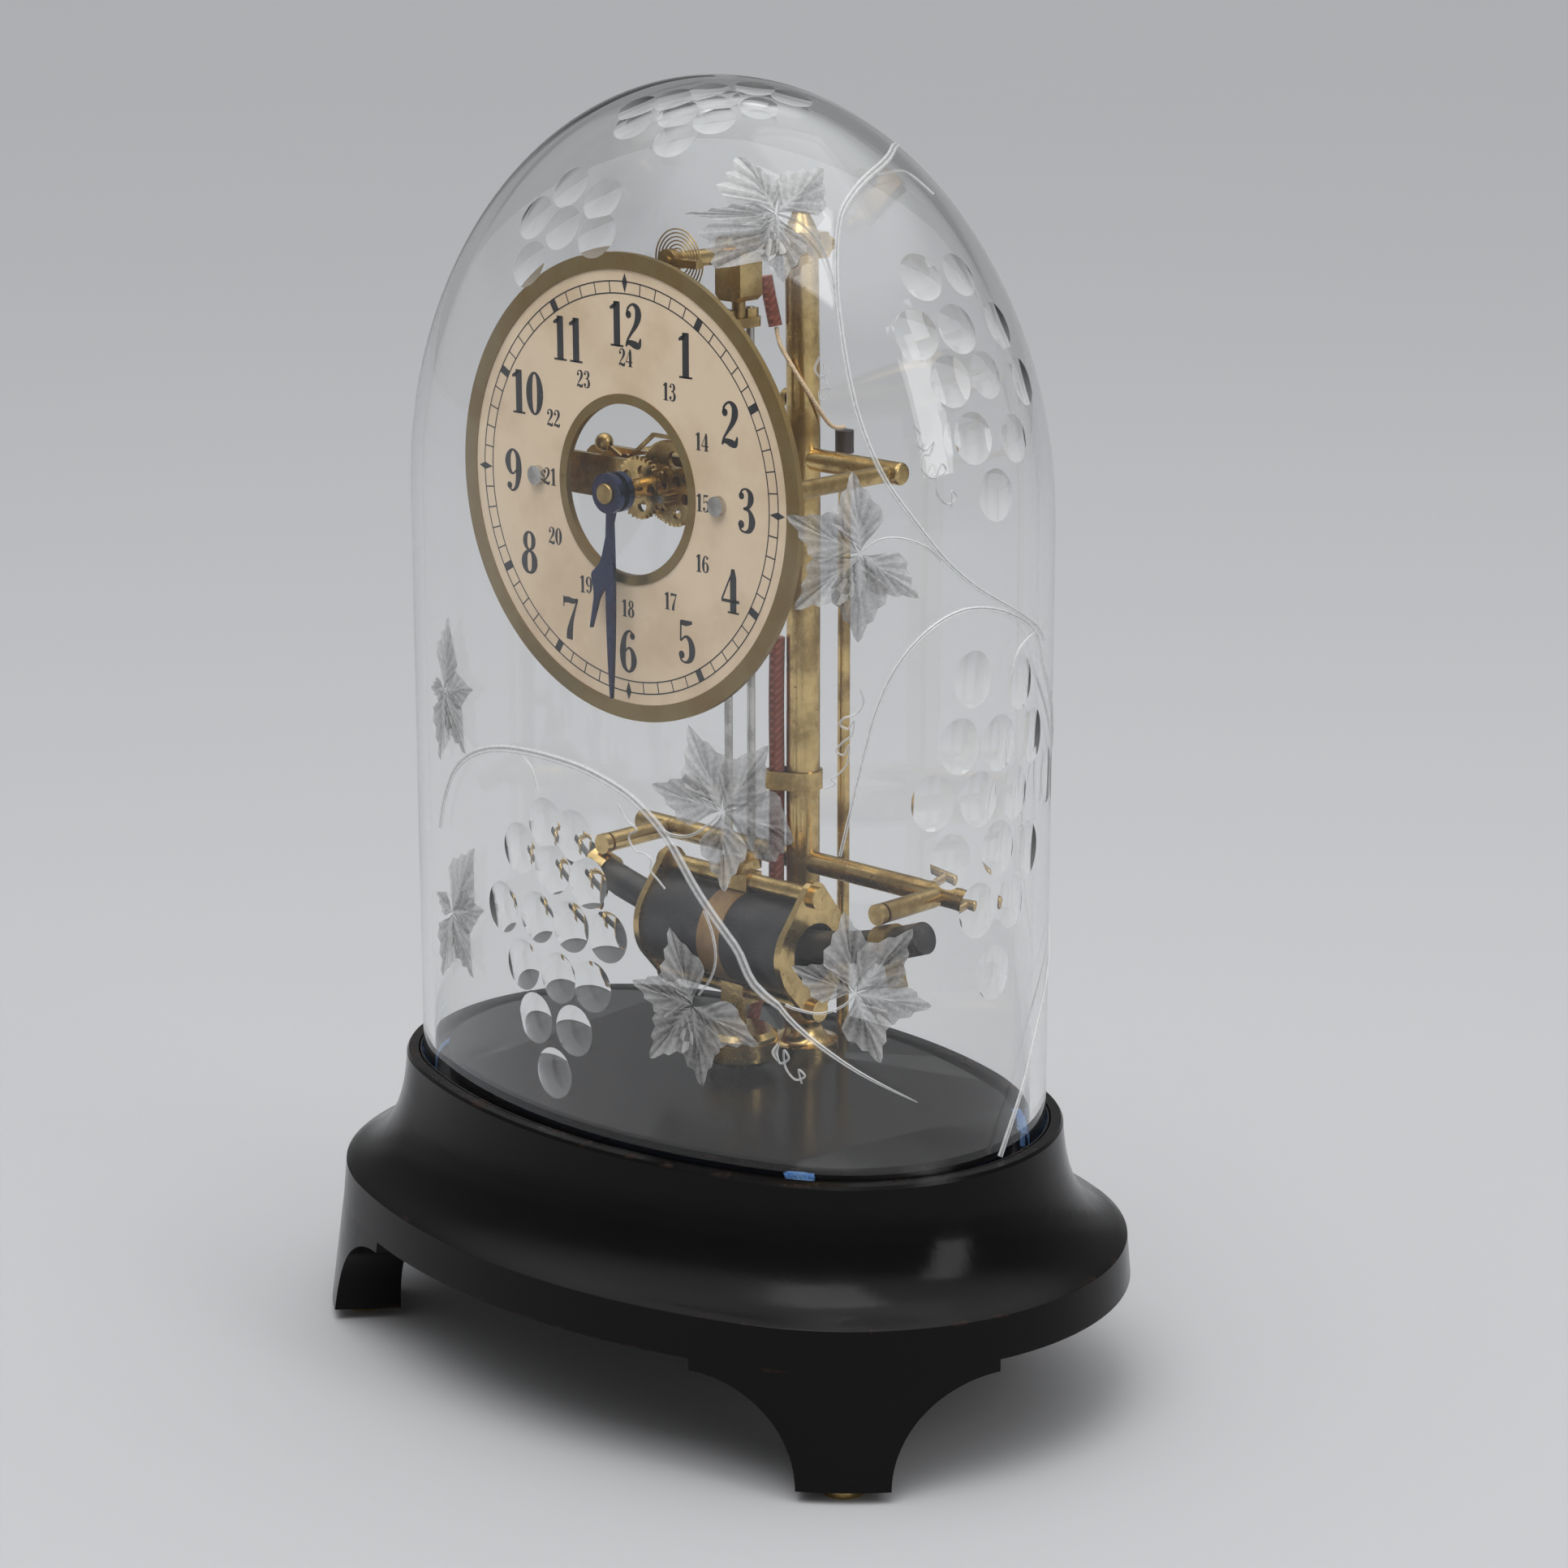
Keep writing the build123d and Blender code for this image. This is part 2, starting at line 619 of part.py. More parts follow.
def bracket_foot(centre_x, angle, bottom, splay, screw_spot=None):
    """Bracket foot: a flared front cut out of the splayed oval ring under the plinth."""
    outward = (math.cos(math.radians(angle)), math.sin(math.radians(angle)), 0)
    face_plane = Plane(origin=(centre_x, 0, 0), x_dir=(-outward[1], outward[0], 0), z_dir=outward)
    half_foot = FOOT_WIDTH / 2
    half_span = FOOT_SPAN / 2
    wing_z = FOOT_HEIGHT - WING_DEPTH
    with BuildPart() as foot:
        loft([oval_face(-BAND_SPREAD, FOOT_HEIGHT), oval_face(-BAND_SPREAD - splay, bottom)], ruled=True)
        extrude(
            oval_face(FOOT_THICKNESS - BAND_SPREAD, bottom),
            amount=FOOT_HEIGHT - bottom,
            mode=Mode.SUBTRACT,
        )
        with BuildSketch(face_plane):
            with BuildLine():
                Line((-half_foot, bottom), (half_foot, bottom))
                TangentArc((half_foot, bottom), (half_span, wing_z), tangent=(0, 1))
                Polyline(
                    (half_span, wing_z),
                    (half_span, FOOT_HEIGHT),
                    (-half_span, FOOT_HEIGHT),
                    (-half_span, wing_z),
                )
                TangentArc((-half_foot, bottom), (-half_span, wing_z), tangent=(0, 1))
            make_face()
        extrude(amount=BASE_LENGTH, mode=Mode.INTERSECT)
        if screw_spot:
            rod_z(
                SCREW_STUD_RADIUS + RUN_GAP,
                bottom,
                SCREW_DISC_HEIGHT + SCREW_STUD_LENGTH + AIR_GAP,
                *screw_spot,
                mode=Mode.SUBTRACT,
            )
    return foot


def levelling_screw(spot):
    """Knurled disc on the table with a stud up into its foot."""
    with BuildPart() as screw:
        rod_z(SCREW_DISC_RADIUS, 0, SCREW_DISC_HEIGHT, *spot)
        rod_z(SCREW_STUD_RADIUS, SCREW_DISC_HEIGHT, SCREW_DISC_HEIGHT + SCREW_STUD_LENGTH, *spot)
    return screw


foot_turn = math.radians(FOOT_ANGLE)
SCREW_X = END_CENTRE + SCREW_RING_RADIUS * math.cos(foot_turn)
SCREW_Y = -SCREW_RING_RADIUS * math.sin(foot_turn)
left_screw_spot = (-SCREW_X, SCREW_Y)
right_screw_spot = (SCREW_X, SCREW_Y)
foot_front_left = bracket_foot(-END_CENTRE, 180 + FOOT_ANGLE, FRONT_FOOT_Z, FOOT_SPLAY, left_screw_spot)
foot_front_right = bracket_foot(END_CENTRE, -FOOT_ANGLE, FRONT_FOOT_Z, FOOT_SPLAY, right_screw_spot)
foot_rear = bracket_foot(0, 90, 0, REAR_FOOT_SPLAY)
levelling_screw_left = levelling_screw(left_screw_spot)
levelling_screw_right = levelling_screw(right_screw_spot)

with BuildPart() as seal_ring:
    with BuildSketch(Plane.XY.offset(GROOVE_FLOOR_Z)):
        Ellipse(DOME_LENGTH / 2 + SEAL_MARGIN, DOME_WIDTH / 2 + SEAL_MARGIN)
        Ellipse(
            DOME_LENGTH / 2 - DOME_WALL - SEAL_MARGIN,
            DOME_WIDTH / 2 - DOME_WALL - SEAL_MARGIN,
            mode=Mode.SUBTRACT,
        )
    extrude(amount=SEAL_THICKNESS)


def dome_form(half_length, half_width, crown):
    """Upright oval wall with a half-ellipsoid crown."""
    with BuildPart() as form:
        with BuildSketch(Plane.XY.offset(DOME_BOTTOM_Z)):
            Ellipse(half_length, half_width)
        extrude(amount=DOME_STRAIGHT)
    with BuildPart() as cap:
        Sphere(1, arc_size1=0, align=BASE_UP)
        scale(by=(half_length, half_width, crown), about=(0, 0, 0))
    with BuildPart() as whole:
        add(form.part)
        add(cap.part.moved(Location((0, 0, DOME_SPRING_Z))))
    return whole.part


with BuildPart() as dome:
    add(dome_form(DOME_LENGTH / 2, DOME_WIDTH / 2, DOME_CROWN))
    add(
        dome_form(
            DOME_LENGTH / 2 - DOME_WALL, DOME_WIDTH / 2 - DOME_WALL, DOME_CROWN - DOME_WALL
        ),
        mode=Mode.SUBTRACT,
    )

# Column and arms

with BuildPart() as column:
    column_bottom_z = NUT_SEAT_Z - WASHER_THICKNESS - NUT_HEIGHT - COLUMN_END
    rod_z(COLUMN_RADIUS, column_bottom_z, COLUMN_TOP_Z, 0, COLUMN_Y)
    chamfer(column.edges().group_by(Axis.Z)[-1], length=COLUMN_POINT, length2=COLUMN_RADIUS / 2)
    for arm_z in (UPPER_ARM_Z, LOWER_ARM_Z):
        rod_x(
            ARM_RADIUS + PRESS_GAP, -COLUMN_RADIUS, COLUMN_RADIUS, COLUMN_Y, arm_z, mode=Mode.SUBTRACT
        )
    rod_y(
        SUSPENSION_RADIUS + PRESS_GAP,
        COLUMN_Y + COLUMN_RADIUS,
        COLUMN_Y - COLUMN_RADIUS,
        0,
        PIVOT_Z,
        mode=Mode.SUBTRACT,
    )
    for side, screw_z in ((1, PIVOT_Z), (-1, LOW_SIDE_SCREW_Z)):
        ends = sorted((side * COLUMN_RADIUS, side * (COLUMN_RADIUS - SIDE_SCREW_DEPTH)))
        rod_x(SIDE_SCREW_RADIUS + PRESS_GAP, *ends, COLUMN_Y, screw_z, mode=Mode.SUBTRACT)

with BuildPart() as column_screws:
    for side, screw_z in ((1, PIVOT_Z), (-1, LOW_SIDE_SCREW_Z)):
        seat = side * COLUMN_RADIUS
        shank = sorted((seat - side * SIDE_SCREW_DEPTH, seat))
        rod_x(SIDE_SCREW_RADIUS, *shank, COLUMN_Y, screw_z)
        rod_x(SIDE_SCREW_HEAD, *sorted((seat, seat + side * SIDE_HEAD_HEIGHT)), COLUMN_Y, screw_z)

with BuildPart() as column_foot:
    with BuildSketch(facing_front(COLUMN_Y)) as foot_section:
        with BuildLine():
            Polyline(
                (COLUMN_RADIUS + PRESS_GAP, PLATFORM_Z + COLUMN_FOOT_HEIGHT),
                (COLUMN_RADIUS + PRESS_GAP, PLATFORM_Z),
                (COLUMN_FOOT_RADIUS, PLATFORM_Z),
                (COLUMN_FOOT_RADIUS, PLATFORM_Z + COLUMN_FOOT_TOE),
            )
            TangentArc(
                (COLUMN_FOOT_RADIUS, PLATFORM_Z + COLUMN_FOOT_TOE),
                (COLUMN_FOOT_NECK, PLATFORM_Z + COLUMN_FOOT_HEIGHT),
                tangent=(-1, 0),
            )
            Line(
                (COLUMN_FOOT_NECK, PLATFORM_Z + COLUMN_FOOT_HEIGHT),
                (COLUMN_RADIUS + PRESS_GAP, PLATFORM_Z + COLUMN_FOOT_HEIGHT),
            )
        make_face()
    revolve(axis=Axis((0, COLUMN_Y, 0), (0, 0, 1)))

with BuildPart() as column_nut:
    washer_z = NUT_SEAT_Z - WASHER_THICKNESS
    rod_z(WASHER_RADIUS, washer_z, NUT_SEAT_Z, 0, COLUMN_Y)
    with BuildSketch(Plane.XY.offset(washer_z)):
        with Locations((0, COLUMN_Y)):
            RegularPolygon(NUT_RADIUS, HEX_SIDES)
    extrude(amount=-NUT_HEIGHT)
    rod_z(
        COLUMN_RADIUS + PRESS_GAP, washer_z - NUT_HEIGHT, NUT_SEAT_Z, 0, COLUMN_Y, mode=Mode.SUBTRACT
    )


with BuildPart() as cross_arms:
    # Upper and lower arm through the column, cross-drilled for the spigots of their pillars
    arms = (
        (UPPER_ARM_HALF, UPPER_ARM_Z, DIAL_PILLAR_X),
        (LOWER_ARM_HALF, LOWER_ARM_Z, MAGNET_PILLAR_X),
    )
    for half_length, height, _ in arms:
        rod_x(ARM_RADIUS, -half_length, half_length, COLUMN_Y, height)
    fillet(cross_arms.edges().filter_by(GeomType.CIRCLE), radius=ARM_END_ROUND)
    for _, height, spigot_x in arms:
        for side in BOTH_SIDES:
            rod_y(
                SPIGOT_RADIUS + PRESS_GAP,
                COLUMN_Y + ARM_RADIUS,
                COLUMN_Y - ARM_RADIUS,
                side * spigot_x,
                height,
                mode=Mode.SUBTRACT,
            )


def arm_pillars(radius, tip_y, x, height, bore_radius, bore_depth):
    """Pair of pillars, each with a spigot through its arm and a screw hole in its front end."""
    with BuildPart() as pillars:
        for side in BOTH_SIDES:
            rod_y(SPIGOT_RADIUS, COLUMN_Y + ARM_RADIUS + SPIGOT_PROUD, COLUMN_Y, side * x, height)
            rod_y(SPIGOT_RADIUS, COLUMN_Y, COLUMN_Y - ARM_RADIUS, side * x, height)
            rod_y(radius, COLUMN_Y - ARM_RADIUS, tip_y, side * x, height)
            rod_y(
                bore_radius + PRESS_GAP, tip_y + bore_depth, tip_y, side * x, height, mode=Mode.SUBTRACT
            )
    return pillars


dial_pillars = arm_pillars(
    DIAL_PILLAR_RADIUS, DIAL_BACK_Y, DIAL_PILLAR_X, UPPER_ARM_Z, DIAL_SCREW_RADIUS, DIAL_SCREW_DEPTH
)
magnet_pillars = arm_pillars(
    MAGNET_PILLAR_RADIUS, CLIP_BACK_Y, MAGNET_PILLAR_X, LOWER_ARM_Z, CLIP_SCREW_RADIUS, CLIP_SCREW_DEPTH
)

# Magnet


def swing_plane(angle, drop):
    """Plane square to the pendulum's arc: local z runs along the arc, local y points at the pivot."""
    turn = math.radians(angle)
    origin = (drop * math.sin(turn), PENDULUM_Y, PIVOT_Z - drop * math.cos(turn))
    return Plane(origin=origin, x_dir=(0, -1, 0), z_dir=(math.cos(turn), 0, math.sin(turn)))


with BuildPart() as magnet:
    with BuildSketch(swing_plane(-MAGNET_HALF_ANGLE, COIL_DROP)):
        Circle(MAGNET_RADIUS)
    revolve(axis=Axis((0, PENDULUM_Y, PIVOT_Z), (0, -1, 0)), revolution_arc=2 * MAGNET_HALF_ANGLE)

with BuildPart() as magnet_clips:
    strap_radius = MAGNET_RADIUS + PRESS_GAP + CLIP_THICKNESS
    for side in BOTH_SIDES:
        with BuildSketch(swing_plane(side * CLIP_ANGLE, COIL_DROP)):
            Circle(strap_radius)
            with Locations((0, (CLIP_RISE + CLIP_TAB_END) / 2)):
                Rectangle(CLIP_THICKNESS, CLIP_RISE + CLIP_TAB_END)
            Circle(MAGNET_RADIUS + PRESS_GAP, mode=Mode.SUBTRACT)
        extrude(amount=CLIP_WIDTH / 2, both=True)
    add(magnet.part, mode=Mode.SUBTRACT)
    for side in BOTH_SIDES:
        rod_y(
            CLIP_SCREW_RADIUS + PRESS_GAP,
            CLIP_BACK_Y,
            CLIP_BACK_Y - CLIP_THICKNESS,
            side * MAGNET_PILLAR_X,
            LOWER_ARM_Z,
            mode=Mode.SUBTRACT,
        )


def seated_screws(spots, seat_y, clamped, depth, radius, head_radius, head_height):
    """Screws from the front: a head on its seat, and a shank through what it clamps."""
    with BuildPart() as screws:
        for spot_x, spot_z in spots:
            rod_y(radius, seat_y + clamped + depth, seat_y, spot_x, spot_z)
            rod_y(head_radius, seat_y, seat_y - head_height, spot_x, spot_z)
    return screws


clip_screws = seated_screws(
    [(side * MAGNET_PILLAR_X, LOWER_ARM_Z) for side in BOTH_SIDES],
    CLIP_BACK_Y - CLIP_THICKNESS,
    CLIP_THICKNESS,
    CLIP_SCREW_DEPTH,
    CLIP_SCREW_RADIUS,
    CLIP_HEAD_RADIUS,
    CLIP_HEAD_HEIGHT,
)

# Suspension

with BuildPart() as suspension_rod:
    rod_y(SUSPENSION_RADIUS, SUSPENSION_BACK_Y, SUSPENSION_STEP_Y, 0, PIVOT_Z)
    rod_y(JOURNAL_RADIUS, SUSPENSION_STEP_Y, JOURNAL_TIP_Y, 0, PIVOT_Z)

with BuildPart() as suspension_nut:
    nut_back = COLUMN_Y + COLUMN_RADIUS + SUSPENSION_NUT_LENGTH
    with BuildSketch(facing_front(nut_back)):
        with Locations((0, PIVOT_Z)):
            RegularPolygon(SUSPENSION_NUT_RADIUS, HEX_SIDES)
            Circle(SUSPENSION_RADIUS + PRESS_GAP, mode=Mode.SUBTRACT)
    extrude(amount=SUSPENSION_NUT_LENGTH)

with BuildPart() as spring_stud:
    stud_back = HUB_TIP_Y - AIR_GAP
    pin_radius_at = SPRING_OUTER + SPRING_WIRE / 2 + AIR_GAP + STUD_PIN_RADIUS
    rod_y(STUD_RING_RADIUS, stud_back, stud_back - STUD_THICKNESS, 0, PIVOT_Z)
    block(
        (0, pin_radius_at + STUD_ARM_HALF),
        (stud_back - STUD_THICKNESS, stud_back),
        (PIVOT_Z - STUD_ARM_HALF, PIVOT_Z + STUD_ARM_HALF),
    )
    rod_y(STUD_PIN_RADIUS, SPRING_Y + STUD_ARM_HALF, stud_back, pin_radius_at, PIVOT_Z)
    rod_y(
        JOURNAL_RADIUS + PRESS_GAP,
        stud_back,
        stud_back - STUD_THICKNESS,
        0,
        PIVOT_Z,
        mode=Mode.SUBTRACT,
    )


def spiral_centres():
    """Half turns of a flat spiral: each arc's middle, radius and start angle."""
    halves = 2 * SPRING_TURNS
    step = (SPRING_OUTER - SPRING_INNER) / halves
    arcs = []
    start_x = SPRING_INNER
    for half in range(halves):
        radius = SPRING_INNER + (half + 1 / 2) * step
        way = 1 if half % 2 == 0 else -1
        centre = start_x - way * radius
        arcs.append((centre, radius, 0 if way > 0 else 180))
        start_x = centre - way * radius
    return arcs


with BuildPart() as hairspring:
    with BuildLine(facing_front(SPRING_Y)) as spiral:
        for centre, radius, start in spiral_centres():
            CenterArc((centre, PIVOT_Z), radius, start, 180)
    spiral_path = spiral.wires()[0]
    with BuildSketch(Plane(spiral_path @ 0, z_dir=spiral_path % 0)):
        Circle(SPRING_WIRE / 2)
    sweep(path=spiral_path)

spring_steps = SPRING_TURNS * SPRING_STEPS
steps = [spiral_path @ (index / spring_steps) for index in range(spring_steps + 1)]
least = min(
    (first - second).length
    for index, first in enumerate(steps)
    for second in steps[index + SPRING_STEPS // 2 :]
)
print("hairspring least gap to itself", round(least - SPRING_WIRE, 2))

# Pendulum

rod_spots = [PENDULUM_Y + side * ROD_SPACING / 2 for side in BOTH_SIDES]
cross_reach = ROD_SPACING / 2 + CROSS_OVERHANG
top_cross_top_z = TOP_CROSS_Z + CROSS_THICKNESS
bottom_cross_top_z = BOTTOM_CROSS_Z + CROSS_THICKNESS

with BuildPart() as pendulum_hanger:
    hanger_bottom_z = PIVOT_Z - HANGER_DEPTH
    block(
        (-HANGER_HALF, HANGER_HALF),
        (HANGER_FRONT_Y, HANGER_BACK_Y),
        (hanger_bottom_z, PIVOT_Z + HANGER_TOP),
    )
    chamfer(pendulum_hanger.edges().filter_by(Axis.Y), length=HANGER_BEVEL)
    rod_y(HUB_RADIUS, HANGER_FRONT_Y, HUB_TIP_Y, 0, PIVOT_Z)
    rod_z(STEM_RADIUS, top_cross_top_z, hanger_bottom_z, 0, PENDULUM_Y)
    rod_y(JOURNAL_RADIUS + RUN_GAP, HANGER_BACK_Y, HUB_TIP_Y, 0, PIVOT_Z, mode=Mode.SUBTRACT)


def crosspiece(bottom_z):
    """Flat bar across the two rods, rounded at its ends, with their holes."""
    with BuildSketch(Plane.XY.offset(bottom_z)) as outline:
        with Locations((0, PENDULUM_Y)):
            SlotOverall(2 * cross_reach, 2 * CROSS_HALF_WIDTH, rotation=90)
        with Locations(*[(0, spot) for spot in rod_spots]):
            Circle(ROD_RADIUS + PRESS_GAP, mode=Mode.SUBTRACT)
    return outline.sketch


with BuildPart() as pendulum_crosspieces:
    # The lower one has a saddle under it that holds the coil's upper tie
    extrude(crosspiece(TOP_CROSS_Z), amount=CROSS_THICKNESS)
    extrude(crosspiece(BOTTOM_CROSS_Z), amount=CROSS_THICKNESS)
    block(
        (-SADDLE_HALF, SADDLE_HALF),
        (PENDULUM_Y - CROSS_HALF_WIDTH, PENDULUM_Y + CROSS_HALF_WIDTH),
        (COIL_Z + BAND_RADIUS + AIR_GAP, BOTTOM_CROSS_Z),
    )
    rod_x(
        TIE_TUBE_RADIUS + PRESS_GAP, -SADDLE_HALF, SADDLE_HALF, PENDULUM_Y, UPPER_TIE_Z, mode=Mode.SUBTRACT
    )

with BuildPart() as pendulum_rods:
    for spot in rod_spots:
        rod_z(ROD_RADIUS, BOTTOM_CROSS_Z, top_cross_top_z + ROD_NUT_HEIGHT + AIR_GAP, 0, spot)

with BuildPart() as rod_nuts:
    for nut_z in (top_cross_top_z, bottom_cross_top_z):
        with BuildSketch(Plane.XY.offset(nut_z)):
            with Locations(*[(0, spot) for spot in rod_spots]):
                RegularPolygon(ROD_NUT_RADIUS, HEX_SIDES)
                Circle(ROD_RADIUS + PRESS_GAP, mode=Mode.SUBTRACT)
        extrude(amount=ROD_NUT_HEIGHT)

with BuildPart() as coil_winding:
    rod_x(COIL_RADIUS, -COIL_HALF, COIL_HALF, PENDULUM_Y, COIL_Z)
    rod_x(COIL_BORE_RADIUS, -COIL_HALF, COIL_HALF, PENDULUM_Y, COIL_Z, mode=Mode.SUBTRACT)

with BuildPart() as coil_band:
    rod_x(BAND_RADIUS, -BAND_HALF, BAND_HALF, PENDULUM_Y, COIL_Z)
    rod_x(COIL_RADIUS + PRESS_GAP, -BAND_HALF, BAND_HALF, PENDULUM_Y, COIL_Z, mode=Mode.SUBTRACT)

with BuildPart() as coil_end_plates:
    for plate_x in (COIL_HALF, -COIL_HALF - END_PLATE):
        with BuildSketch(Plane.YZ.offset(plate_x)):
            with Locations((PENDULUM_Y, COIL_Z)):
                Circle(END_PLATE_RADIUS)
            with Locations((PENDULUM_Y, UPPER_TIE_Z)):
                Circle(UPPER_EAR_RADIUS)
            with Locations((PENDULUM_Y, LOWER_TIE_Z)):
                Circle(LOWER_EAR_RADIUS)
            make_hull()
            with Locations((PENDULUM_Y, COIL_Z)):
                Circle(COIL_BORE_RADIUS, mode=Mode.SUBTRACT)
            with Locations((PENDULUM_Y, UPPER_TIE_Z), (PENDULUM_Y, LOWER_TIE_Z)):
                Circle(COIL_SCREW_RADIUS + PRESS_GAP, mode=Mode.SUBTRACT)
        extrude(amount=END_PLATE)

with BuildPart() as coil_ties:
    for tie_radius, tie_z in ((TIE_TUBE_RADIUS, UPPER_TIE_Z), (TIE_ROD_RADIUS, LOWER_TIE_Z)):
        rod_x(tie_radius, -COIL_HALF, COIL_HALF, PENDULUM_Y, tie_z)
        for start in (-COIL_HALF, COIL_HALF - COIL_SCREW_DEPTH):
            rod_x(
                COIL_SCREW_RADIUS + PRESS_GAP,
                start,
                start + COIL_SCREW_DEPTH,
                PENDULUM_Y,
                tie_z,
                mode=Mode.SUBTRACT,
            )

with BuildPart() as coil_screws:
    outer_face = COIL_HALF + END_PLATE
    for side in BOTH_SIDES:
        for tie_z in (UPPER_TIE_Z, LOWER_TIE_Z):
            shank = sorted((side * (COIL_HALF - COIL_SCREW_DEPTH), side * outer_face))
            head = sorted((side * outer_face, side * (outer_face + COIL_HEAD_HEIGHT)))
            rod_x(COIL_SCREW_RADIUS, *shank, PENDULUM_Y, tie_z)
            rod_x(COIL_HEAD_RADIUS, *head, PENDULUM_Y, tie_z)

with BuildPart() as rating_screw:
    block(
        (-LUG_HALF, LUG_HALF),
        (PENDULUM_Y - LUG_RISE, PENDULUM_Y + LUG_RISE),
        (LUG_BOTTOM_Z, COIL_Z - BAND_RADIUS - AIR_GAP),
    )
    rod_z(RATING_SCREW_RADIUS, RATING_NUT_BOTTOM_Z + RATING_SCREW_END, LUG_BOTTOM_Z, 0, PENDULUM_Y)
    rod_x(TIE_ROD_RADIUS + PRESS_GAP, -LUG_HALF, LUG_HALF, PENDULUM_Y, LOWER_TIE_Z, mode=Mode.SUBTRACT)

with BuildPart() as rating_nut:
    rod_z(RATING_NUT_RADIUS, RATING_NUT_BOTTOM_Z, RATING_NUT_TOP_Z, 0, PENDULUM_Y)
    chamfer(rating_nut.edges().filter_by(GeomType.CIRCLE), length=RATING_NUT_BEVEL)
    rod_z(
        RATING_SCREW_RADIUS + RUN_GAP,
        RATING_NUT_BOTTOM_Z,
        RATING_NUT_TOP_Z,
        0,
        PENDULUM_Y,
        mode=Mode.SUBTRACT,
    )

with BuildPart() as contact_pin:
    # A strip clamped on the front rod carries the pin forward into the fork
    pin_z = PIVOT_Z - PIN_DROP
    rod_z(ROD_RADIUS + PIN_STRIP_HALF, pin_z - PIN_STRIP_HALF, pin_z + PIN_STRIP_HALF, 0, rod_spots[0])
    rod_y(PIN_RADIUS, rod_spots[0], PIN_TIP_Y, 0, pin_z)
    rod_z(
        ROD_RADIUS + PRESS_GAP,
        pin_z - PIN_STRIP_HALF,
        pin_z + PIN_STRIP_HALF,
        0,
        rod_spots[0],
        mode=Mode.SUBTRACT,
    )

# Dial and movement plates

with BuildPart() as dial_plate:
    with BuildSketch(facing_front(DIAL_BACK_Y)):
        with Locations((0, DIAL_Z)):
            Circle(DIAL_RADIUS)
            Circle(DIAL_APERTURE, mode=Mode.SUBTRACT)
    extrude(amount=DIAL_THICKNESS)
    with BuildSketch(facing_front(DIAL_FRONT_Y)):
        with Locations((0, DIAL_Z)):
            Circle(DIAL_RADIUS)
            Circle(DIAL_RIM_RADIUS, mode=Mode.SUBTRACT)
            Circle(DIAL_RING_RADIUS)
            Circle(DIAL_APERTURE, mode=Mode.SUBTRACT)
    extrude(amount=DIAL_RIM_RISE)
    for side in BOTH_SIDES:
        rod_y(
            DIAL_SCREW_RADIUS + PRESS_GAP,
            DIAL_BACK_Y,
            DIAL_FRONT_Y,
            side * DIAL_PILLAR_X,
            UPPER_ARM_Z,
            mode=Mode.SUBTRACT,
        )

with BuildPart() as dial_paper:
    with BuildSketch(facing_front(DIAL_FRONT_Y)):
        with Locations((0, DIAL_Z)):
            Circle(DIAL_RIM_RADIUS - PRESS_GAP)
            Circle(DIAL_RING_RADIUS + PRESS_GAP, mode=Mode.SUBTRACT)
    extrude(amount=PAPER_THICKNESS)
    for side in BOTH_SIDES:
        rod_y(
            DIAL_SCREW_RADIUS + PRESS_GAP,
            DIAL_FRONT_Y,
            PAPER_FRONT_Y,
            side * DIAL_PILLAR_X,
            UPPER_ARM_Z,
            mode=Mode.SUBTRACT,
        )

dial_screws = seated_screws(
    [(side * DIAL_PILLAR_X, UPPER_ARM_Z) for side in BOTH_SIDES],
    PAPER_FRONT_Y,
    PAPER_THICKNESS + DIAL_THICKNESS,
    DIAL_SCREW_DEPTH,
    DIAL_SCREW_RADIUS,
    DIAL_HEAD_RADIUS,
    DIAL_HEAD_HEIGHT,
)


def movement_plate(back_y, thickness, bores):
    """Long plate with rounded ends on the two dial pillars, with the arbors' holes."""
    with BuildPart() as plate:
        with BuildSketch(facing_front(back_y)):
            with Locations((0, DIAL_Z)):
                SlotOverall(2 * PLATE_HALF_LENGTH, 2 * PLATE_HALF_HEIGHT)
            with Locations(*[(side * DIAL_PILLAR_X, UPPER_ARM_Z) for side in BOTH_SIDES]):
                Circle(DIAL_PILLAR_RADIUS + PRESS_GAP, mode=Mode.SUBTRACT)
            for bore_x, bore_z, bore_radius in bores:
                with Locations((bore_x, bore_z)):
                    Circle(bore_radius, mode=Mode.SUBTRACT)
        extrude(amount=thickness)
    return plate


back_plate = movement_plate(
    BACK_PLATE_Y,
    BACK_PLATE_THICKNESS,
    [
        (0, DIAL_Z, ARBOR_RADIUS + RUN_GAP),
        (PAWL_X, PAWL_Z, PAWL_STUD_RADIUS + PRESS_GAP),
    ],
)
front_plate = movement_plate(
    FRONT_PLATE_Y,
    FRONT_PLATE_THICKNESS,
    [
        (0, DIAL_Z, ARBOR_RADIUS + RUN_GAP),
        (MINUTE_X, MINUTE_Z, STUD_RADIUS + PRESS_GAP),
    ],
)

with BuildPart() as movement_studs:
    # Stud of the minute wheel, stud of the holding pawl and flanged stud of the fork lever
    rod_y(STUD_RADIUS, FRONT_PLATE_Y, PINION_TIP_Y - AIR_GAP, MINUTE_X, MINUTE_Z)
    rod_y(PAWL_STUD_RADIUS, BACK_PLATE_Y, PAWL_BACK_Y - PAWL_THICKNESS - AIR_GAP, PAWL_X, PAWL_Z)
    rod_y(FORK_HUB_RADIUS, BACK_PLATE_Y + COUNT_THICKNESS, BACK_PLATE_Y, 0, DIAL_Z)
    rod_y(FORK_STUD_RADIUS, FORK_BACK_Y + AIR_GAP, BACK_PLATE_Y + COUNT_THICKNESS, 0, DIAL_Z)

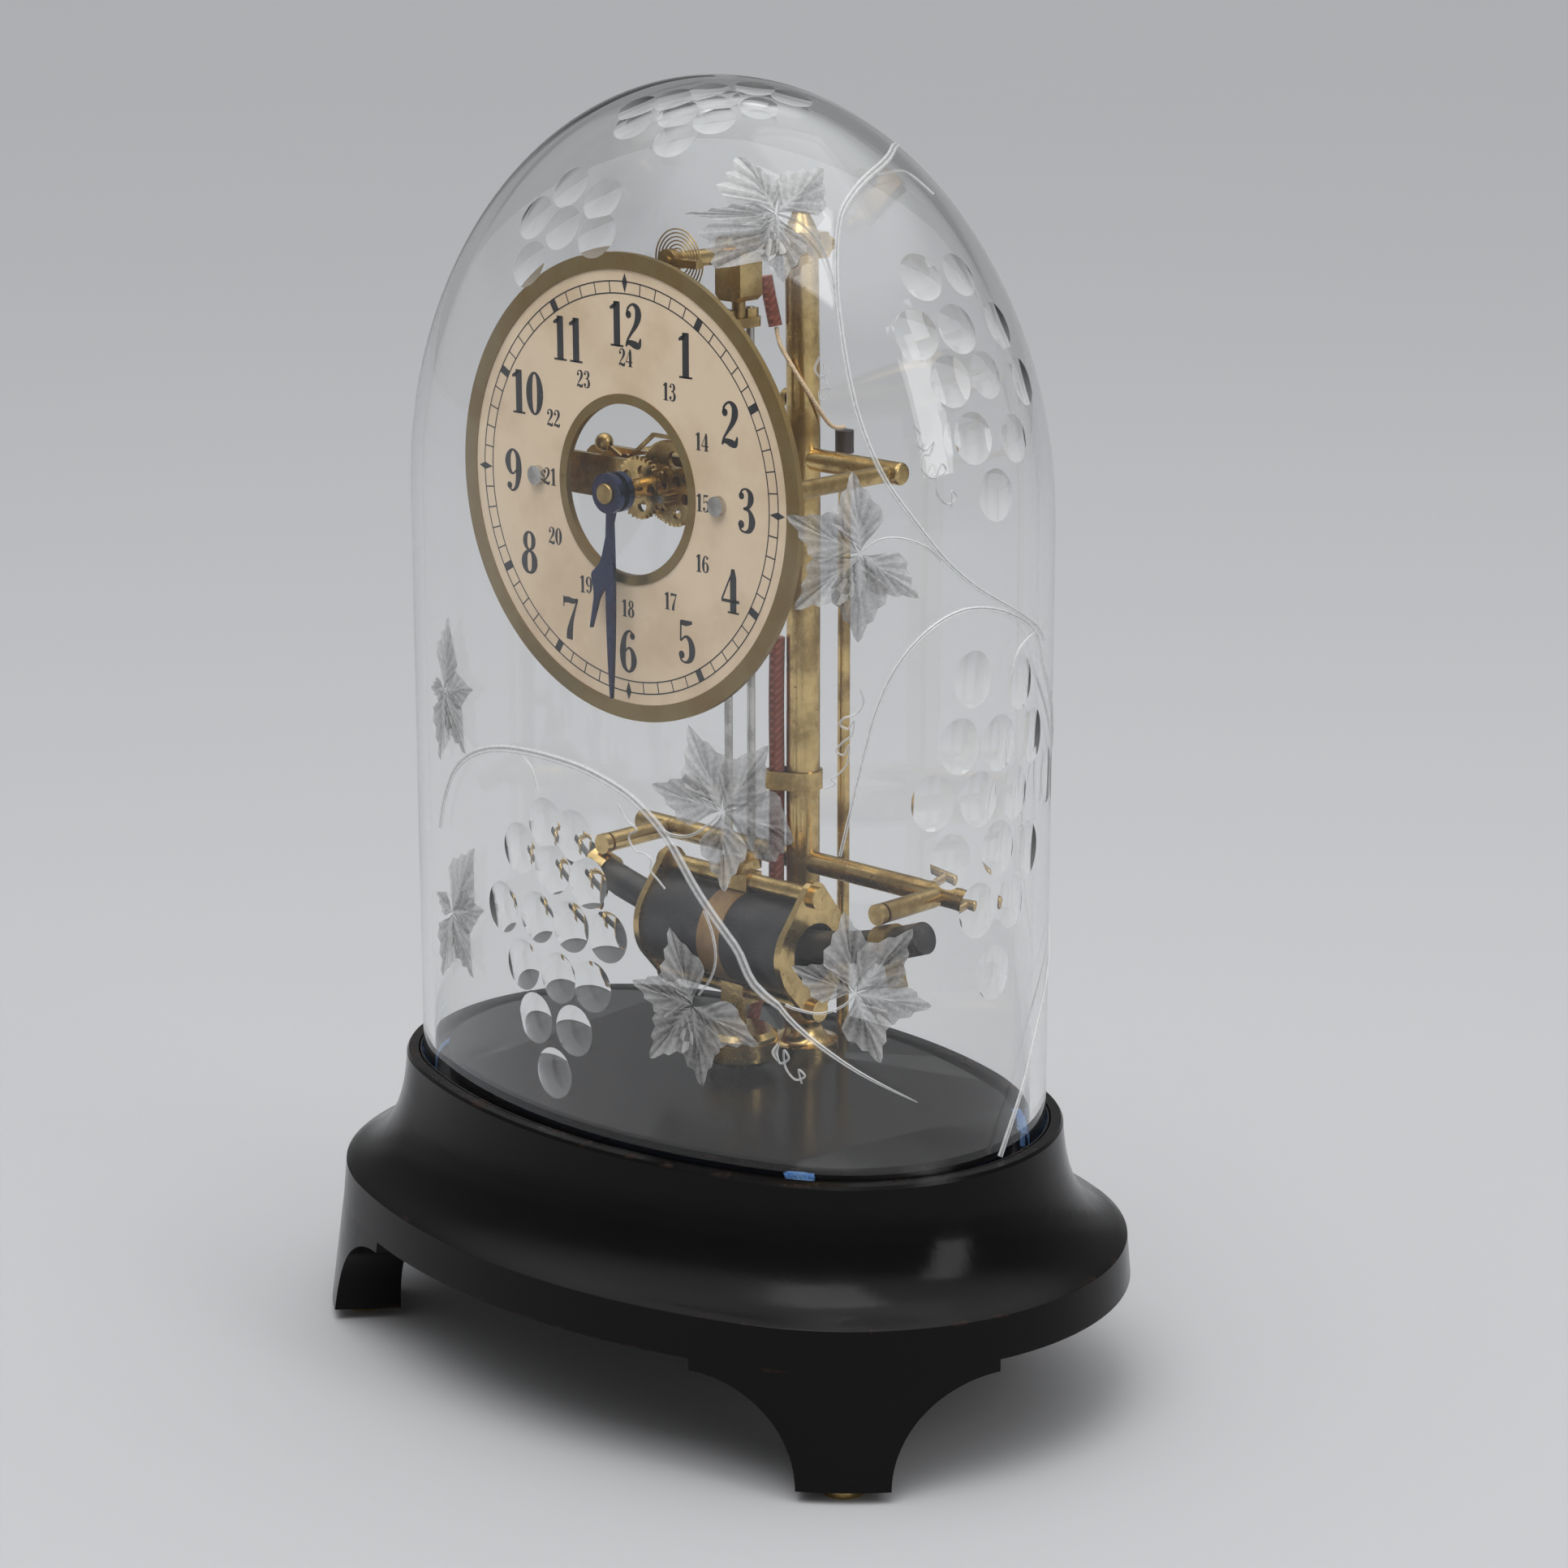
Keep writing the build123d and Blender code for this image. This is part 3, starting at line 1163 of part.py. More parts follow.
with BuildPart() as worm_cocks:
    cock_front_y = WORM_Y - COCK_OVERHANG
    back_plate_front_y = BACK_PLATE_Y - BACK_PLATE_THICKNESS
    lower_cock_top = LOWER_COCK_Z + COCK_THICKNESS
    upper_cock_top = UPPER_COCK_Z + COCK_THICKNESS
    plate_bottom_z = DIAL_Z - PLATE_HALF_HEIGHT
    plate_top_z = DIAL_Z + PLATE_HALF_HEIGHT
    cock_x = (WORM_X - COCK_HALF_WIDTH, WORM_X + COCK_HALF_WIDTH)
    leg_x = (UPPER_COCK_LEG_X - COCK_HALF_WIDTH, UPPER_COCK_LEG_X + COCK_HALF_WIDTH)
    block(cock_x, (cock_front_y, back_plate_front_y), (LOWER_COCK_Z, lower_cock_top))
    block(
        cock_x,
        (back_plate_front_y - COCK_THICKNESS, back_plate_front_y),
        (LOWER_COCK_Z, plate_bottom_z + COCK_HALF_WIDTH),
    )
    block(
        leg_x,
        (BACK_PLATE_Y, BACK_PLATE_Y + COCK_THICKNESS),
        (plate_top_z - COCK_FOOT_RISE, upper_cock_top),
    )
    block(
        (cock_x[0], leg_x[1]),
        (cock_front_y, BACK_PLATE_Y + COCK_THICKNESS),
        (UPPER_COCK_Z, upper_cock_top),
    )
    rod_z(WORM_ARBOR_RADIUS + RUN_GAP, LOWER_COCK_Z, upper_cock_top, WORM_X, WORM_Y, mode=Mode.SUBTRACT)

# Wheels and hands


def wheel_windows(plane_y, centre, ring_radius, hole_radius):
    """Ring of round windows that lighten a wheel."""
    with BuildSketch(facing_front(plane_y)) as windows:
        with Locations(centre):
            with PolarLocations(ring_radius, WHEEL_HOLES):
                Circle(hole_radius)
    return windows.sketch


arbor_line = (0, DIAL_Z)
minute_spot = (MINUTE_X, MINUTE_Z)
cannon_phase = MINUTE_WHEEL_ANGLE
minute_phase = 180 + MINUTE_WHEEL_ANGLE + 180 / MINUTE_WHEEL_TEETH
pinion_phase = 180 + MINUTE_WHEEL_ANGLE
hour_phase = MINUTE_WHEEL_ANGLE + 180 / HOUR_WHEEL_TEETH
minute_wheel_front_y = MINUTE_WHEEL_Y - WHEEL_THICKNESS
hour_wheel_front_y = HOUR_WHEEL_Y - WHEEL_THICKNESS

with BuildPart() as centre_wheel:
    centre_pitch = CENTRE_MODULE * CENTRE_TEETH / 2
    extrude(
        toothed_disc(facing_front(CENTRE_WHEEL_Y), CENTRE_MODULE, CENTRE_TEETH, arbor_line),
        amount=WHEEL_THICKNESS,
    )
    extrude(
        wheel_windows(CENTRE_WHEEL_Y, arbor_line, centre_pitch * WINDOW_RING, centre_pitch * WINDOW_SIZE),
        amount=WHEEL_THICKNESS,
        mode=Mode.SUBTRACT,
    )
    rod_y(ARBOR_RADIUS, BACK_PLATE_Y - AIR_GAP, CANNON_TIP_Y + AIR_GAP, 0, DIAL_Z)

with BuildPart() as cannon_pinion:
    extrude(
        toothed_disc(facing_front(CANNON_BACK_Y), MOTION_MODULE, CANNON_TEETH, arbor_line, cannon_phase),
        amount=CANNON_BACK_Y - CANNON_FRONT_Y,
    )
    rod_y(CANNON_TUBE_RADIUS, CANNON_FRONT_Y, CANNON_TIP_Y, 0, DIAL_Z)
    rod_y(ARBOR_RADIUS + RUN_GAP, CANNON_BACK_Y, CANNON_TIP_Y, 0, DIAL_Z, mode=Mode.SUBTRACT)

with BuildPart() as minute_wheel:
    minute_pitch = MOTION_MODULE * MINUTE_WHEEL_TEETH / 2
    extrude(
        toothed_disc(
            facing_front(MINUTE_WHEEL_Y), MOTION_MODULE, MINUTE_WHEEL_TEETH, minute_spot, minute_phase
        ),
        amount=WHEEL_THICKNESS,
    )
    extrude(
        wheel_windows(MINUTE_WHEEL_Y, minute_spot, minute_pitch * WINDOW_RING, minute_pitch * WINDOW_SIZE),
        amount=WHEEL_THICKNESS,
        mode=Mode.SUBTRACT,
    )
    extrude(
        toothed_disc(
            facing_front(minute_wheel_front_y),
            MOTION_MODULE,
            MINUTE_PINION_TEETH,
            minute_spot,
            pinion_phase,
        ),
        amount=minute_wheel_front_y - PINION_TIP_Y,
    )
    rod_y(STUD_RADIUS + RUN_GAP, MINUTE_WHEEL_Y, PINION_TIP_Y, *minute_spot, mode=Mode.SUBTRACT)

with BuildPart() as hour_wheel:
    hour_pitch = MOTION_MODULE * HOUR_WHEEL_TEETH / 2
    extrude(
        toothed_disc(facing_front(HOUR_WHEEL_Y), MOTION_MODULE, HOUR_WHEEL_TEETH, arbor_line, hour_phase),
        amount=WHEEL_THICKNESS,
    )
    extrude(
        wheel_windows(HOUR_WHEEL_Y, arbor_line, hour_pitch * WINDOW_RING, hour_pitch * WINDOW_SIZE),
        amount=WHEEL_THICKNESS,
        mode=Mode.SUBTRACT,
    )
    rod_y(HOUR_PIPE_RADIUS, hour_wheel_front_y, HOUR_PIPE_TIP_Y, 0, DIAL_Z)
    rod_y(CANNON_TUBE_RADIUS + RUN_GAP, HOUR_WHEEL_Y, HOUR_PIPE_TIP_Y, 0, DIAL_Z, mode=Mode.SUBTRACT)


def hand_plane(y, clock_angle):
    """Plane on the dial's axis facing the front, its local y along a hand."""
    turn = math.radians(clock_angle)
    across = (math.cos(turn), 0, -math.sin(turn))
    return Plane(origin=(0, y, DIAL_Z), x_dir=across, z_dir=(0, -1, 0))


with BuildPart() as hour_hand:
    with BuildSketch(hand_plane(HOUR_HAND_Y, HOUR_HAND_ANGLE)):
        with BuildLine():
            for side in BOTH_SIDES:
                Line((side * HAND_NECK_HALF, 0), (side * HAND_NECK_HALF, HOUR_HAND_BULB_START))
                Spline(
                    (side * HAND_NECK_HALF, HOUR_HAND_BULB_START),
                    (side * HOUR_HAND_BULB, HOUR_HAND_BULB_AT),
                    (side * HAND_NECK_HALF, HOUR_HAND_BULB_END),
                    tangents=((0, 1), (0, 1)),
                )
                Line((side * HAND_NECK_HALF, HOUR_HAND_BULB_END), (side * HAND_TIP_HALF, HOUR_HAND_LENGTH))
            Line((-HAND_NECK_HALF, 0), (HAND_NECK_HALF, 0))
            Line((-HAND_TIP_HALF, HOUR_HAND_LENGTH), (HAND_TIP_HALF, HOUR_HAND_LENGTH))
        make_face()
    extrude(amount=HAND_THICKNESS)
    hour_hand_front_y = HOUR_HAND_Y - HAND_THICKNESS
    hour_disc_back_y = hour_hand_front_y + HAND_DISC_THICKNESS
    rod_y(HAND_DISC_RADIUS, hour_disc_back_y, hour_hand_front_y, 0, DIAL_Z)
    rod_y(HOUR_PIPE_RADIUS + PRESS_GAP, hour_disc_back_y, hour_hand_front_y, 0, DIAL_Z, mode=Mode.SUBTRACT)

with BuildPart() as minute_hand:
    leaf_middle = (HAND_DISC_RADIUS + MINUTE_HAND_LENGTH) / 2
    with BuildSketch(hand_plane(MINUTE_HAND_Y, MINUTE_HAND_ANGLE)):
        with BuildLine():
            for side in BOTH_SIDES:
                ThreePointArc(
                    (side * HAND_NECK_HALF, 0),
                    (side * MINUTE_HAND_WIDTH / 2, leaf_middle),
                    (side * HAND_TIP_HALF, MINUTE_HAND_LENGTH),
                )
            Line((-HAND_NECK_HALF, 0), (HAND_NECK_HALF, 0))
            Line((-HAND_TIP_HALF, MINUTE_HAND_LENGTH), (HAND_TIP_HALF, MINUTE_HAND_LENGTH))
        make_face()
    extrude(amount=HAND_THICKNESS)
    minute_disc_front_y = MINUTE_HAND_Y - HAND_DISC_THICKNESS
    rod_y(HAND_DISC_RADIUS, MINUTE_HAND_Y, minute_disc_front_y, 0, DIAL_Z)
    rod_y(CANNON_TUBE_RADIUS + PRESS_GAP, MINUTE_HAND_Y, minute_disc_front_y, 0, DIAL_Z, mode=Mode.SUBTRACT)

with BuildPart() as hand_boss:
    rod_y(BOSS_RADIUS, minute_disc_front_y, BOSS_TIP_Y, 0, DIAL_Z)
    fillet(hand_boss.edges().group_by(Axis.Y)[0], radius=HAND_NECK_HALF)
    rod_y(CANNON_TUBE_RADIUS + PRESS_GAP, minute_disc_front_y, CANNON_TIP_Y, 0, DIAL_Z, mode=Mode.SUBTRACT)

with BuildPart() as count_wheel:
    count_module = 2 * COUNT_RADIUS / (COUNT_TEETH + 2 * TOOTH_ADDENDUM)
    extrude(
        toothed_disc(Plane.XY.offset(COUNT_WHEEL_Z), count_module, COUNT_TEETH, (WORM_X, WORM_Y)),
        amount=COUNT_THICKNESS,
    )
    rod_z(WORM_ARBOR_RADIUS, LOWER_COCK_Z, UPPER_COCK_Z + COCK_THICKNESS, WORM_X, WORM_Y)
    rod_z(WORM_RADIUS, DIAL_Z - WORM_HALF, DIAL_Z + WORM_HALF, WORM_X, WORM_Y)

# Fork lever and holding pawl

with BuildPart() as fork_lever:
    slot_half = PIN_RADIUS + FORK_PLAY
    slot_bottom_z = DIAL_Z + FORK_ARM - slot_half
    fork_tip_z = DIAL_Z + FORK_TIP
    fork_front_y = FORK_BACK_Y - FORK_THICKNESS
    claw_z = DIAL_Z + CLAW_HEIGHT
    claw_tip_y = WORM_Y + COUNT_RADIUS + AIR_GAP
    tine_x = slot_half + FORK_TINE
    rod_y(FORK_HUB_RADIUS, FORK_BACK_Y, fork_front_y, 0, DIAL_Z)
    block((-tine_x, tine_x), (fork_front_y, FORK_BACK_Y), (DIAL_Z + FORK_TINE, fork_tip_z))
    block(
        (slot_half, CLAW_X),
        (fork_front_y, FORK_BACK_Y),
        (claw_z - FORK_TINE / 2, claw_z + FORK_TINE / 2),
    )
    block(
        (CLAW_X - FORK_TINE, CLAW_X),
        (claw_tip_y, FORK_BACK_Y),
        (claw_z - FORK_TINE / 2, claw_z + FORK_TINE / 2),
    )
    block(
        (-slot_half, slot_half),
        (fork_front_y, FORK_BACK_Y),
        (slot_bottom_z, fork_tip_z),
        mode=Mode.SUBTRACT,
    )
    rod_y(FORK_STUD_RADIUS + RUN_GAP, FORK_BACK_Y, fork_front_y, 0, DIAL_Z, mode=Mode.SUBTRACT)

with BuildPart() as pawl_ball:
    ball_y = PAWL_BACK_Y - PAWL_THICKNESS / 2
    with Locations((BALL_X, ball_y, BALL_Z)):
        Sphere(BALL_RADIUS)
    block(
        (BALL_X - BALL_RADIUS, BALL_X + BALL_RADIUS),
        (PAWL_BACK_Y - PAWL_THICKNESS - PRESS_GAP, PAWL_BACK_Y + PRESS_GAP),
        (BALL_Z - BALL_RADIUS, BALL_Z + PAWL_HALF + PRESS_GAP),
        mode=Mode.SUBTRACT,
    )

with BuildPart() as holding_pawl:
    with BuildSketch(facing_front(PAWL_BACK_Y)):
        with BuildLine():
            Polyline(
                (BALL_X, BALL_Z),
                (PAWL_X, PAWL_Z),
                (PAWL_ELBOW_X, PAWL_TIP_Z),
                (PAWL_TIP_X, PAWL_TIP_Z),
            )
        trace(line_width=2 * PAWL_HALF)
        with Locations((PAWL_X, PAWL_Z)):
            Circle(PAWL_HUB_RADIUS)
            Circle(PAWL_STUD_RADIUS + RUN_GAP, mode=Mode.SUBTRACT)
    extrude(amount=PAWL_THICKNESS)
    add(pawl_ball.part)

# Leads

with BuildPart() as lead_tube:
    rod_z(LEAD_TUBE_RADIUS, PLATFORM_Z - LEAD_TUBE_SEAT, LEAD_TUBE_TOP_Z, LEAD_TUBE_X, LEAD_TUBE_Y)

with BuildPart() as terminal_cap:
    rod_z(CAP_RADIUS, LEAD_TUBE_TOP_Z, LEAD_TUBE_TOP_Z + CAP_HEIGHT, LEAD_TUBE_X, LEAD_TUBE_Y)

with BuildPart() as lead_wires:
    lead_along(UPPER_LEAD_POINTS, WIRE_RADIUS)
    lead_along(LOWER_LEAD_POINTS, WIRE_RADIUS)

with BuildPart() as lead_sleeves:
    lead_along(UPPER_SLEEVE_POINTS, UPPER_SLEEVE_RADIUS)
    lead_along(LOWER_SLEEVE_POINTS, LOWER_SLEEVE_RADIUS)


def strap_outline(column_margin, sleeve_margin):
    """Tight band round the column and the sleeve that lies on it."""
    sleeve_x, sleeve_y, _ = SLEEVE_CLIP_SPOT
    with BuildSketch(Plane.XY.offset(SLEEVE_CLIP_Z - SLEEVE_CLIP_HALF)) as strap:
        with Locations((0, COLUMN_Y)):
            Circle(COLUMN_RADIUS + column_margin)
        with Locations((sleeve_x, sleeve_y)):
            Circle(LOWER_SLEEVE_RADIUS + sleeve_margin)
        make_hull()
    return strap.sketch


with BuildPart() as sleeve_clip:
    clip_wall = PRESS_GAP + SLEEVE_CLIP_THICKNESS
    extrude(strap_outline(clip_wall, AIR_GAP + SLEEVE_CLIP_THICKNESS), amount=2 * SLEEVE_CLIP_HALF)
    extrude(strap_outline(PRESS_GAP, AIR_GAP), amount=2 * SLEEVE_CLIP_HALF, mode=Mode.SUBTRACT)

# One file for each piece

pieces = {
    "base_plinth": base_plinth,
    "base_cover": base_cover,
    "cover_screws": cover_screws,
    "battery_cell": battery_cell,
    "battery_contacts": battery_contacts,
    "foot_front_left": foot_front_left,
    "foot_front_right": foot_front_right,
    "foot_rear": foot_rear,
    "levelling_screw_left": levelling_screw_left,
    "levelling_screw_right": levelling_screw_right,
    "seal_ring": seal_ring,
    "dome": dome,
    "column": column,
    "column_screws": column_screws,
    "column_foot": column_foot,
    "column_nut": column_nut,
    "cross_arms": cross_arms,
    "dial_pillars": dial_pillars,
    "magnet_pillars": magnet_pillars,
    "magnet": magnet,
    "magnet_clips": magnet_clips,
    "clip_screws": clip_screws,
    "suspension_rod": suspension_rod,
    "suspension_nut": suspension_nut,
    "spring_stud": spring_stud,
    "hairspring": hairspring,
    "pendulum_hanger": pendulum_hanger,
    "pendulum_crosspieces": pendulum_crosspieces,
    "pendulum_rods": pendulum_rods,
    "rod_nuts": rod_nuts,
    "coil_winding": coil_winding,
    "coil_band": coil_band,
    "coil_end_plates": coil_end_plates,
    "coil_ties": coil_ties,
    "coil_screws": coil_screws,
    "rating_screw": rating_screw,
    "rating_nut": rating_nut,
    "contact_pin": contact_pin,
    "dial_plate": dial_plate,
    "dial_paper": dial_paper,
    "dial_screws": dial_screws,
    "back_plate": back_plate,
    "front_plate": front_plate,
    "movement_studs": movement_studs,
    "worm_cocks": worm_cocks,
    "centre_wheel": centre_wheel,
    "cannon_pinion": cannon_pinion,
    "minute_wheel": minute_wheel,
    "hour_wheel": hour_wheel,
    "hour_hand": hour_hand,
    "minute_hand": minute_hand,
    "hand_boss": hand_boss,
    "count_wheel": count_wheel,
    "fork_lever": fork_lever,
    "holding_pawl": holding_pawl,
    "lead_tube": lead_tube,
    "terminal_cap": terminal_cap,
    "lead_wires": lead_wires,
    "lead_sleeves": lead_sleeves,
    "sleeve_clip": sleeve_clip,
}
os.makedirs("parts", exist_ok=True)
for label, built in pieces.items():
    built.part.label = label
    export_step(built.part, f"parts/{label}.step")
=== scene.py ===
"""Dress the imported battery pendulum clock: finishes, dial print, leads, seal, moulding and cut glass."""
import json
import math

import bmesh
import bpy
from mathutils import Euler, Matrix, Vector
from mathutils.bvhtree import BVHTree
from mathutils.kdtree import KDTree


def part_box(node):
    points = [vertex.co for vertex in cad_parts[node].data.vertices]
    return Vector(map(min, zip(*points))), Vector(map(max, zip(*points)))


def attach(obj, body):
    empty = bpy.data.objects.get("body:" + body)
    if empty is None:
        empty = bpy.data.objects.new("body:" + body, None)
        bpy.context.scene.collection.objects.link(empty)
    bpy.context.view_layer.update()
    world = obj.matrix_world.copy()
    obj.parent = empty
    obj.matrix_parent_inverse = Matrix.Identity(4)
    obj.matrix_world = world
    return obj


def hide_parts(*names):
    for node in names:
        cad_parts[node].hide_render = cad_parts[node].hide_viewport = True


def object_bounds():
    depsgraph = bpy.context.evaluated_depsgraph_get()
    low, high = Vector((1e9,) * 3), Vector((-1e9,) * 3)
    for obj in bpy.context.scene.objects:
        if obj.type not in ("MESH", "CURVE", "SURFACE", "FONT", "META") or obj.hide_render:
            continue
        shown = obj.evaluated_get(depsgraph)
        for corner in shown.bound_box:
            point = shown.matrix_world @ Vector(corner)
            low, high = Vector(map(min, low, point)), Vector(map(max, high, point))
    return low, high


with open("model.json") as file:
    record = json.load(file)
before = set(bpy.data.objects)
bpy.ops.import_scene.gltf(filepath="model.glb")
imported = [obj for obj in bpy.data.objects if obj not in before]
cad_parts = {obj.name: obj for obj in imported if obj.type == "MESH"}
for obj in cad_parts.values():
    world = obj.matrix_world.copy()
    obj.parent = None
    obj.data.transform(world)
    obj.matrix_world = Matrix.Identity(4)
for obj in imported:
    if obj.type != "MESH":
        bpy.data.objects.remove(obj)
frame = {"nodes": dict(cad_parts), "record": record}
CAD_LOW, CAD_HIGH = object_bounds()

bl_info = {
    "name": "Pendulum Clock Dressing",
    "version": (1, 0, 0),
    "blender": (4, 5, 0),
    "location": "View3D > Sidebar > Clock",
    "description": "Finishes, dial print, leads and cut glass for a battery pendulum clock",
    "category": "Object",
}

MM = 0.001
FRAME_BODY = "clock_frame"
GLASS_BODY = "dome_glass"
PAPER_LOW, PAPER_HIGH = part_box("dial_paper")
DIAL_MIDDLE = (PAPER_LOW + PAPER_HIGH) / 2
SEAL_LOW, SEAL_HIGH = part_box("seal_ring")
PHOTO_PIXELS = 1932
CAMERA_PLACE = Vector((0.7207, -0.7414, 0.4236))
CAMERA_TURN = Euler((math.radians(75.52), 0.0, math.radians(43.33)))
LENS = 92.69
SENSOR = 36.0


def colour(name, about, default):
    """A colour that the panel offers."""
    return bpy.props.FloatVectorProperty(
        name=name, description=about, default=default, size=3, min=0.0, max=1.0, subtype="COLOR"
    )


def length(name, about, default):
    """A length in metres that the panel offers."""
    return bpy.props.FloatProperty(name=name, description=about, default=default, min=0.0, unit="LENGTH")


class ClockColours(bpy.types.PropertyGroup):
    """Colours of the clock's finishes."""

    brass_bright: colour("Bright brass", "Polished places on the brass", (0.72, 0.52, 0.225))
    brass_dull: colour("Dull brass", "Browned places on the brass", (0.28, 0.185, 0.068))
    brass_stain: colour("Brass stain", "Dark specks and stains on the brass", (0.12, 0.07, 0.025))
    bronze: colour("Dial bronze", "Bare metal round the dial paper", (0.30, 0.22, 0.095))
    ebony: colour("Ebonised wood", "Black stain of the base", (0.0030, 0.0028, 0.0029))
    bare_wood: colour("Bare wood", "Brown wood where the black is worn off", (0.032, 0.015, 0.008))
    paper: colour("Dial paper", "Cream ground of the dial", (0.80, 0.635, 0.45))
    paper_aged: colour("Aged paper", "Darker cream where the paper has browned", (0.67, 0.505, 0.335))
    ink: colour("Dial ink", "Printed figures and minute track", (0.012, 0.013, 0.017))
    blue_steel: colour("Blued steel", "Heat blue of the hands", (0.035, 0.052, 0.115))
    blue_violet: colour("Blue violet", "Violet cast in the heat blue", (0.045, 0.040, 0.085))
    steel: colour("Bright steel", "Screws, rods and strips", (0.62, 0.61, 0.59))
    enamel: colour("Black enamel", "Covering of the magnet", (0.008, 0.008, 0.009))
    coil_black: colour("Coil cover", "Varnished covering of the coil", (0.009, 0.009, 0.011))
    coil_brown: colour("Coil strip", "Brown strip round the coil", (0.20, 0.11, 0.045))
    cotton: colour("Lead cotton", "Cotton covering of the thin leads", (0.60, 0.43, 0.26))
    braid: colour("Sleeve braid", "Maroon braid on the sleeves", (0.16, 0.035, 0.02))
    chenille: colour("Seal chenille", "Blue pile in the dome's groove", (0.08, 0.20, 0.46))
    terminal: colour("Terminal", "Dark cap of the terminal", (0.02, 0.015, 0.013))
    card: colour("Cell card", "Card sleeve of the cell", (0.50, 0.43, 0.33))
    floor: colour("Floor", "Pale floor and backdrop", (0.49, 0.49, 0.50))


class ClockSizes(bpy.types.PropertyGroup):
    """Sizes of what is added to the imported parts."""

    figure_height: length("Hour figures", "Height of the figures 1 to 12", 11.4 * MM)
    figure_radius: length("Hour figure circle", "Radius that the hour figures stand on", 41.6 * MM)
    small_height: length("Small figures", "Height of the figures 13 to 24", 4.5 * MM)
    small_radius: length("Small figure circle", "Radius that the small figures stand on", 30.5 * MM)
    track_inner: length("Track inside", "Radius of the minute track's inner line", 49.3 * MM)
    track_outer: length("Track outside", "Radius of the minute track's outer line", 52.3 * MM)
    line_width: length("Track line", "Width of the minute track's lines", 0.34 * MM)
    ink_rise: length("Ink rise", "Height of the print above the paper", 0.03 * MM)
    upper_lead: length("Upper lead", "Diameter of the thin lead behind the dial", 1.2 * MM)
    upper_sleeve: length("Upper sleeve", "Diameter of the short sleeve", 3.4 * MM)
    lower_sleeve: length("Lower sleeve", "Diameter of the sleeve beside the column", 3.8 * MM)
    seal_wide: length("Seal width", "Width of the pile strip under the dome", 4.6 * MM)
    grape_wheel: length("Grape wheel", "Radius of the wheel that grinds the deep grapes", 20.0 * MM)
    grape_depth: length("Grape depth", "Depth of the deep grapes", 1.2 * MM)
    round_wheel: length("Round grape wheel", "Radius of the wheel that grinds the round grapes", 28.0 * MM)
    round_depth: length("Round grape depth", "Depth of the round grapes", 0.95 * MM)
    flat_wheel: length("Flat grape wheel", "Radius of the wheel that grinds the flat grapes", 42.0 * MM)
    flat_depth: length("Flat grape depth", "Depth of the flat grapes", 0.60 * MM)


def sizes():
    return bpy.context.scene.clock_sizes


def tinted(shade):
    """A colour of the panel by its name, or a colour as it is."""
    return tuple(getattr(bpy.context.scene.clock_colours, shade)) if isinstance(shade, str) else shade


class Nodes:
    """A node tree under construction."""

    def __init__(self, tree):
        self.tree = tree

    def add(self, kind, settings=None, **inputs):
        """A node with its settings, and its inputs by socket name or, after a low line, by number."""
        node = self.tree.nodes.new(kind)
        for key, value in (settings or {}).items():
            setattr(node, key, value)
        for label, value in inputs.items():
            socket = node.inputs[int(label[1:])] if label[0] == "_" else node.inputs[label.replace("_", " ")]
            for each in value if isinstance(value, list) else [value]:
                if isinstance(each, bpy.types.NodeSocket):
                    self.tree.links.new(each, socket)
                else:
                    socket.default_value = each
        return node

    def make(self, kind, settings=None, **inputs):
        """The first output of a new node."""
        return self.add(kind, settings, **inputs).outputs[0]

    def maths(self, operation, first, second=0.0):
        return self.make("ShaderNodeMath", {"operation": operation}, _0=first, _1=second)


class Finish(Nodes):
    """One procedural material, built on Object coordinates."""

    def __init__(self, name, **constants):
        self.material = bpy.data.materials.new(f"{name}_finish")
        self.material.use_nodes = True
        super().__init__(self.material.node_tree)
        self.shader = self.tree.nodes["Principled BSDF"]
        self.place = self.add("ShaderNodeTexCoord").outputs["Object"]
        for label, value in constants.items():
            self.shader.inputs[label.replace("_", " ")].default_value = value

    def give(self, **values):
        """Link values to the shader's sockets."""
        for label, value in values.items():
            self.tree.links.new(value, self.shader.inputs[label.replace("_", " ")])

    def painted(self, attribute):
        """A value that the mesh carries."""
        return self.add("ShaderNodeAttribute", {"attribute_name": attribute}).outputs["Fac"]

    def cloud(self, scale, detail=5.0, roughness=0.6, place=None):
        """Soft noise."""
        place = place or self.place
        return self.make("ShaderNodeTexNoise", Scale=scale, Detail=detail, Roughness=roughness, Vector=place)

    def span(self, value, low, high, to_low=0.0, to_high=1.0):
        """A value eased from one range to another."""
        return self.make(
            "ShaderNodeMapRange", {"interpolation_type": "SMOOTHSTEP"}, Value=value, From_Min=low,
            From_Max=high, To_Min=to_low, To_Max=to_high,
        )

    def mixed(self, factor, first, second):
        """One colour passing into another; each is an output, a colour or a name of the panel."""
        shades = [
            shade if isinstance(shade, bpy.types.NodeSocket) else (*tinted(shade), 1.0)
            for shade in (first, second)
        ]
        node = self.add("ShaderNodeMix", {"data_type": "RGBA"}, _0=factor, _6=shades[0], _7=shades[1])
        return node.outputs[2]

    def band(self, value, middle, half):
        """1 at middle, falling to 0 at half on each side."""
        away = self.maths("ABSOLUTE", self.maths("SUBTRACT", value, middle))
        return self.span(away, 0.0, half, 1.0, 0.0)

    def relief(self, height, strength, distance):
        """A fine unevenness of the surface."""
        self.give(Normal=self.make("ShaderNodeBump", Height=height, Strength=strength, Distance=distance))


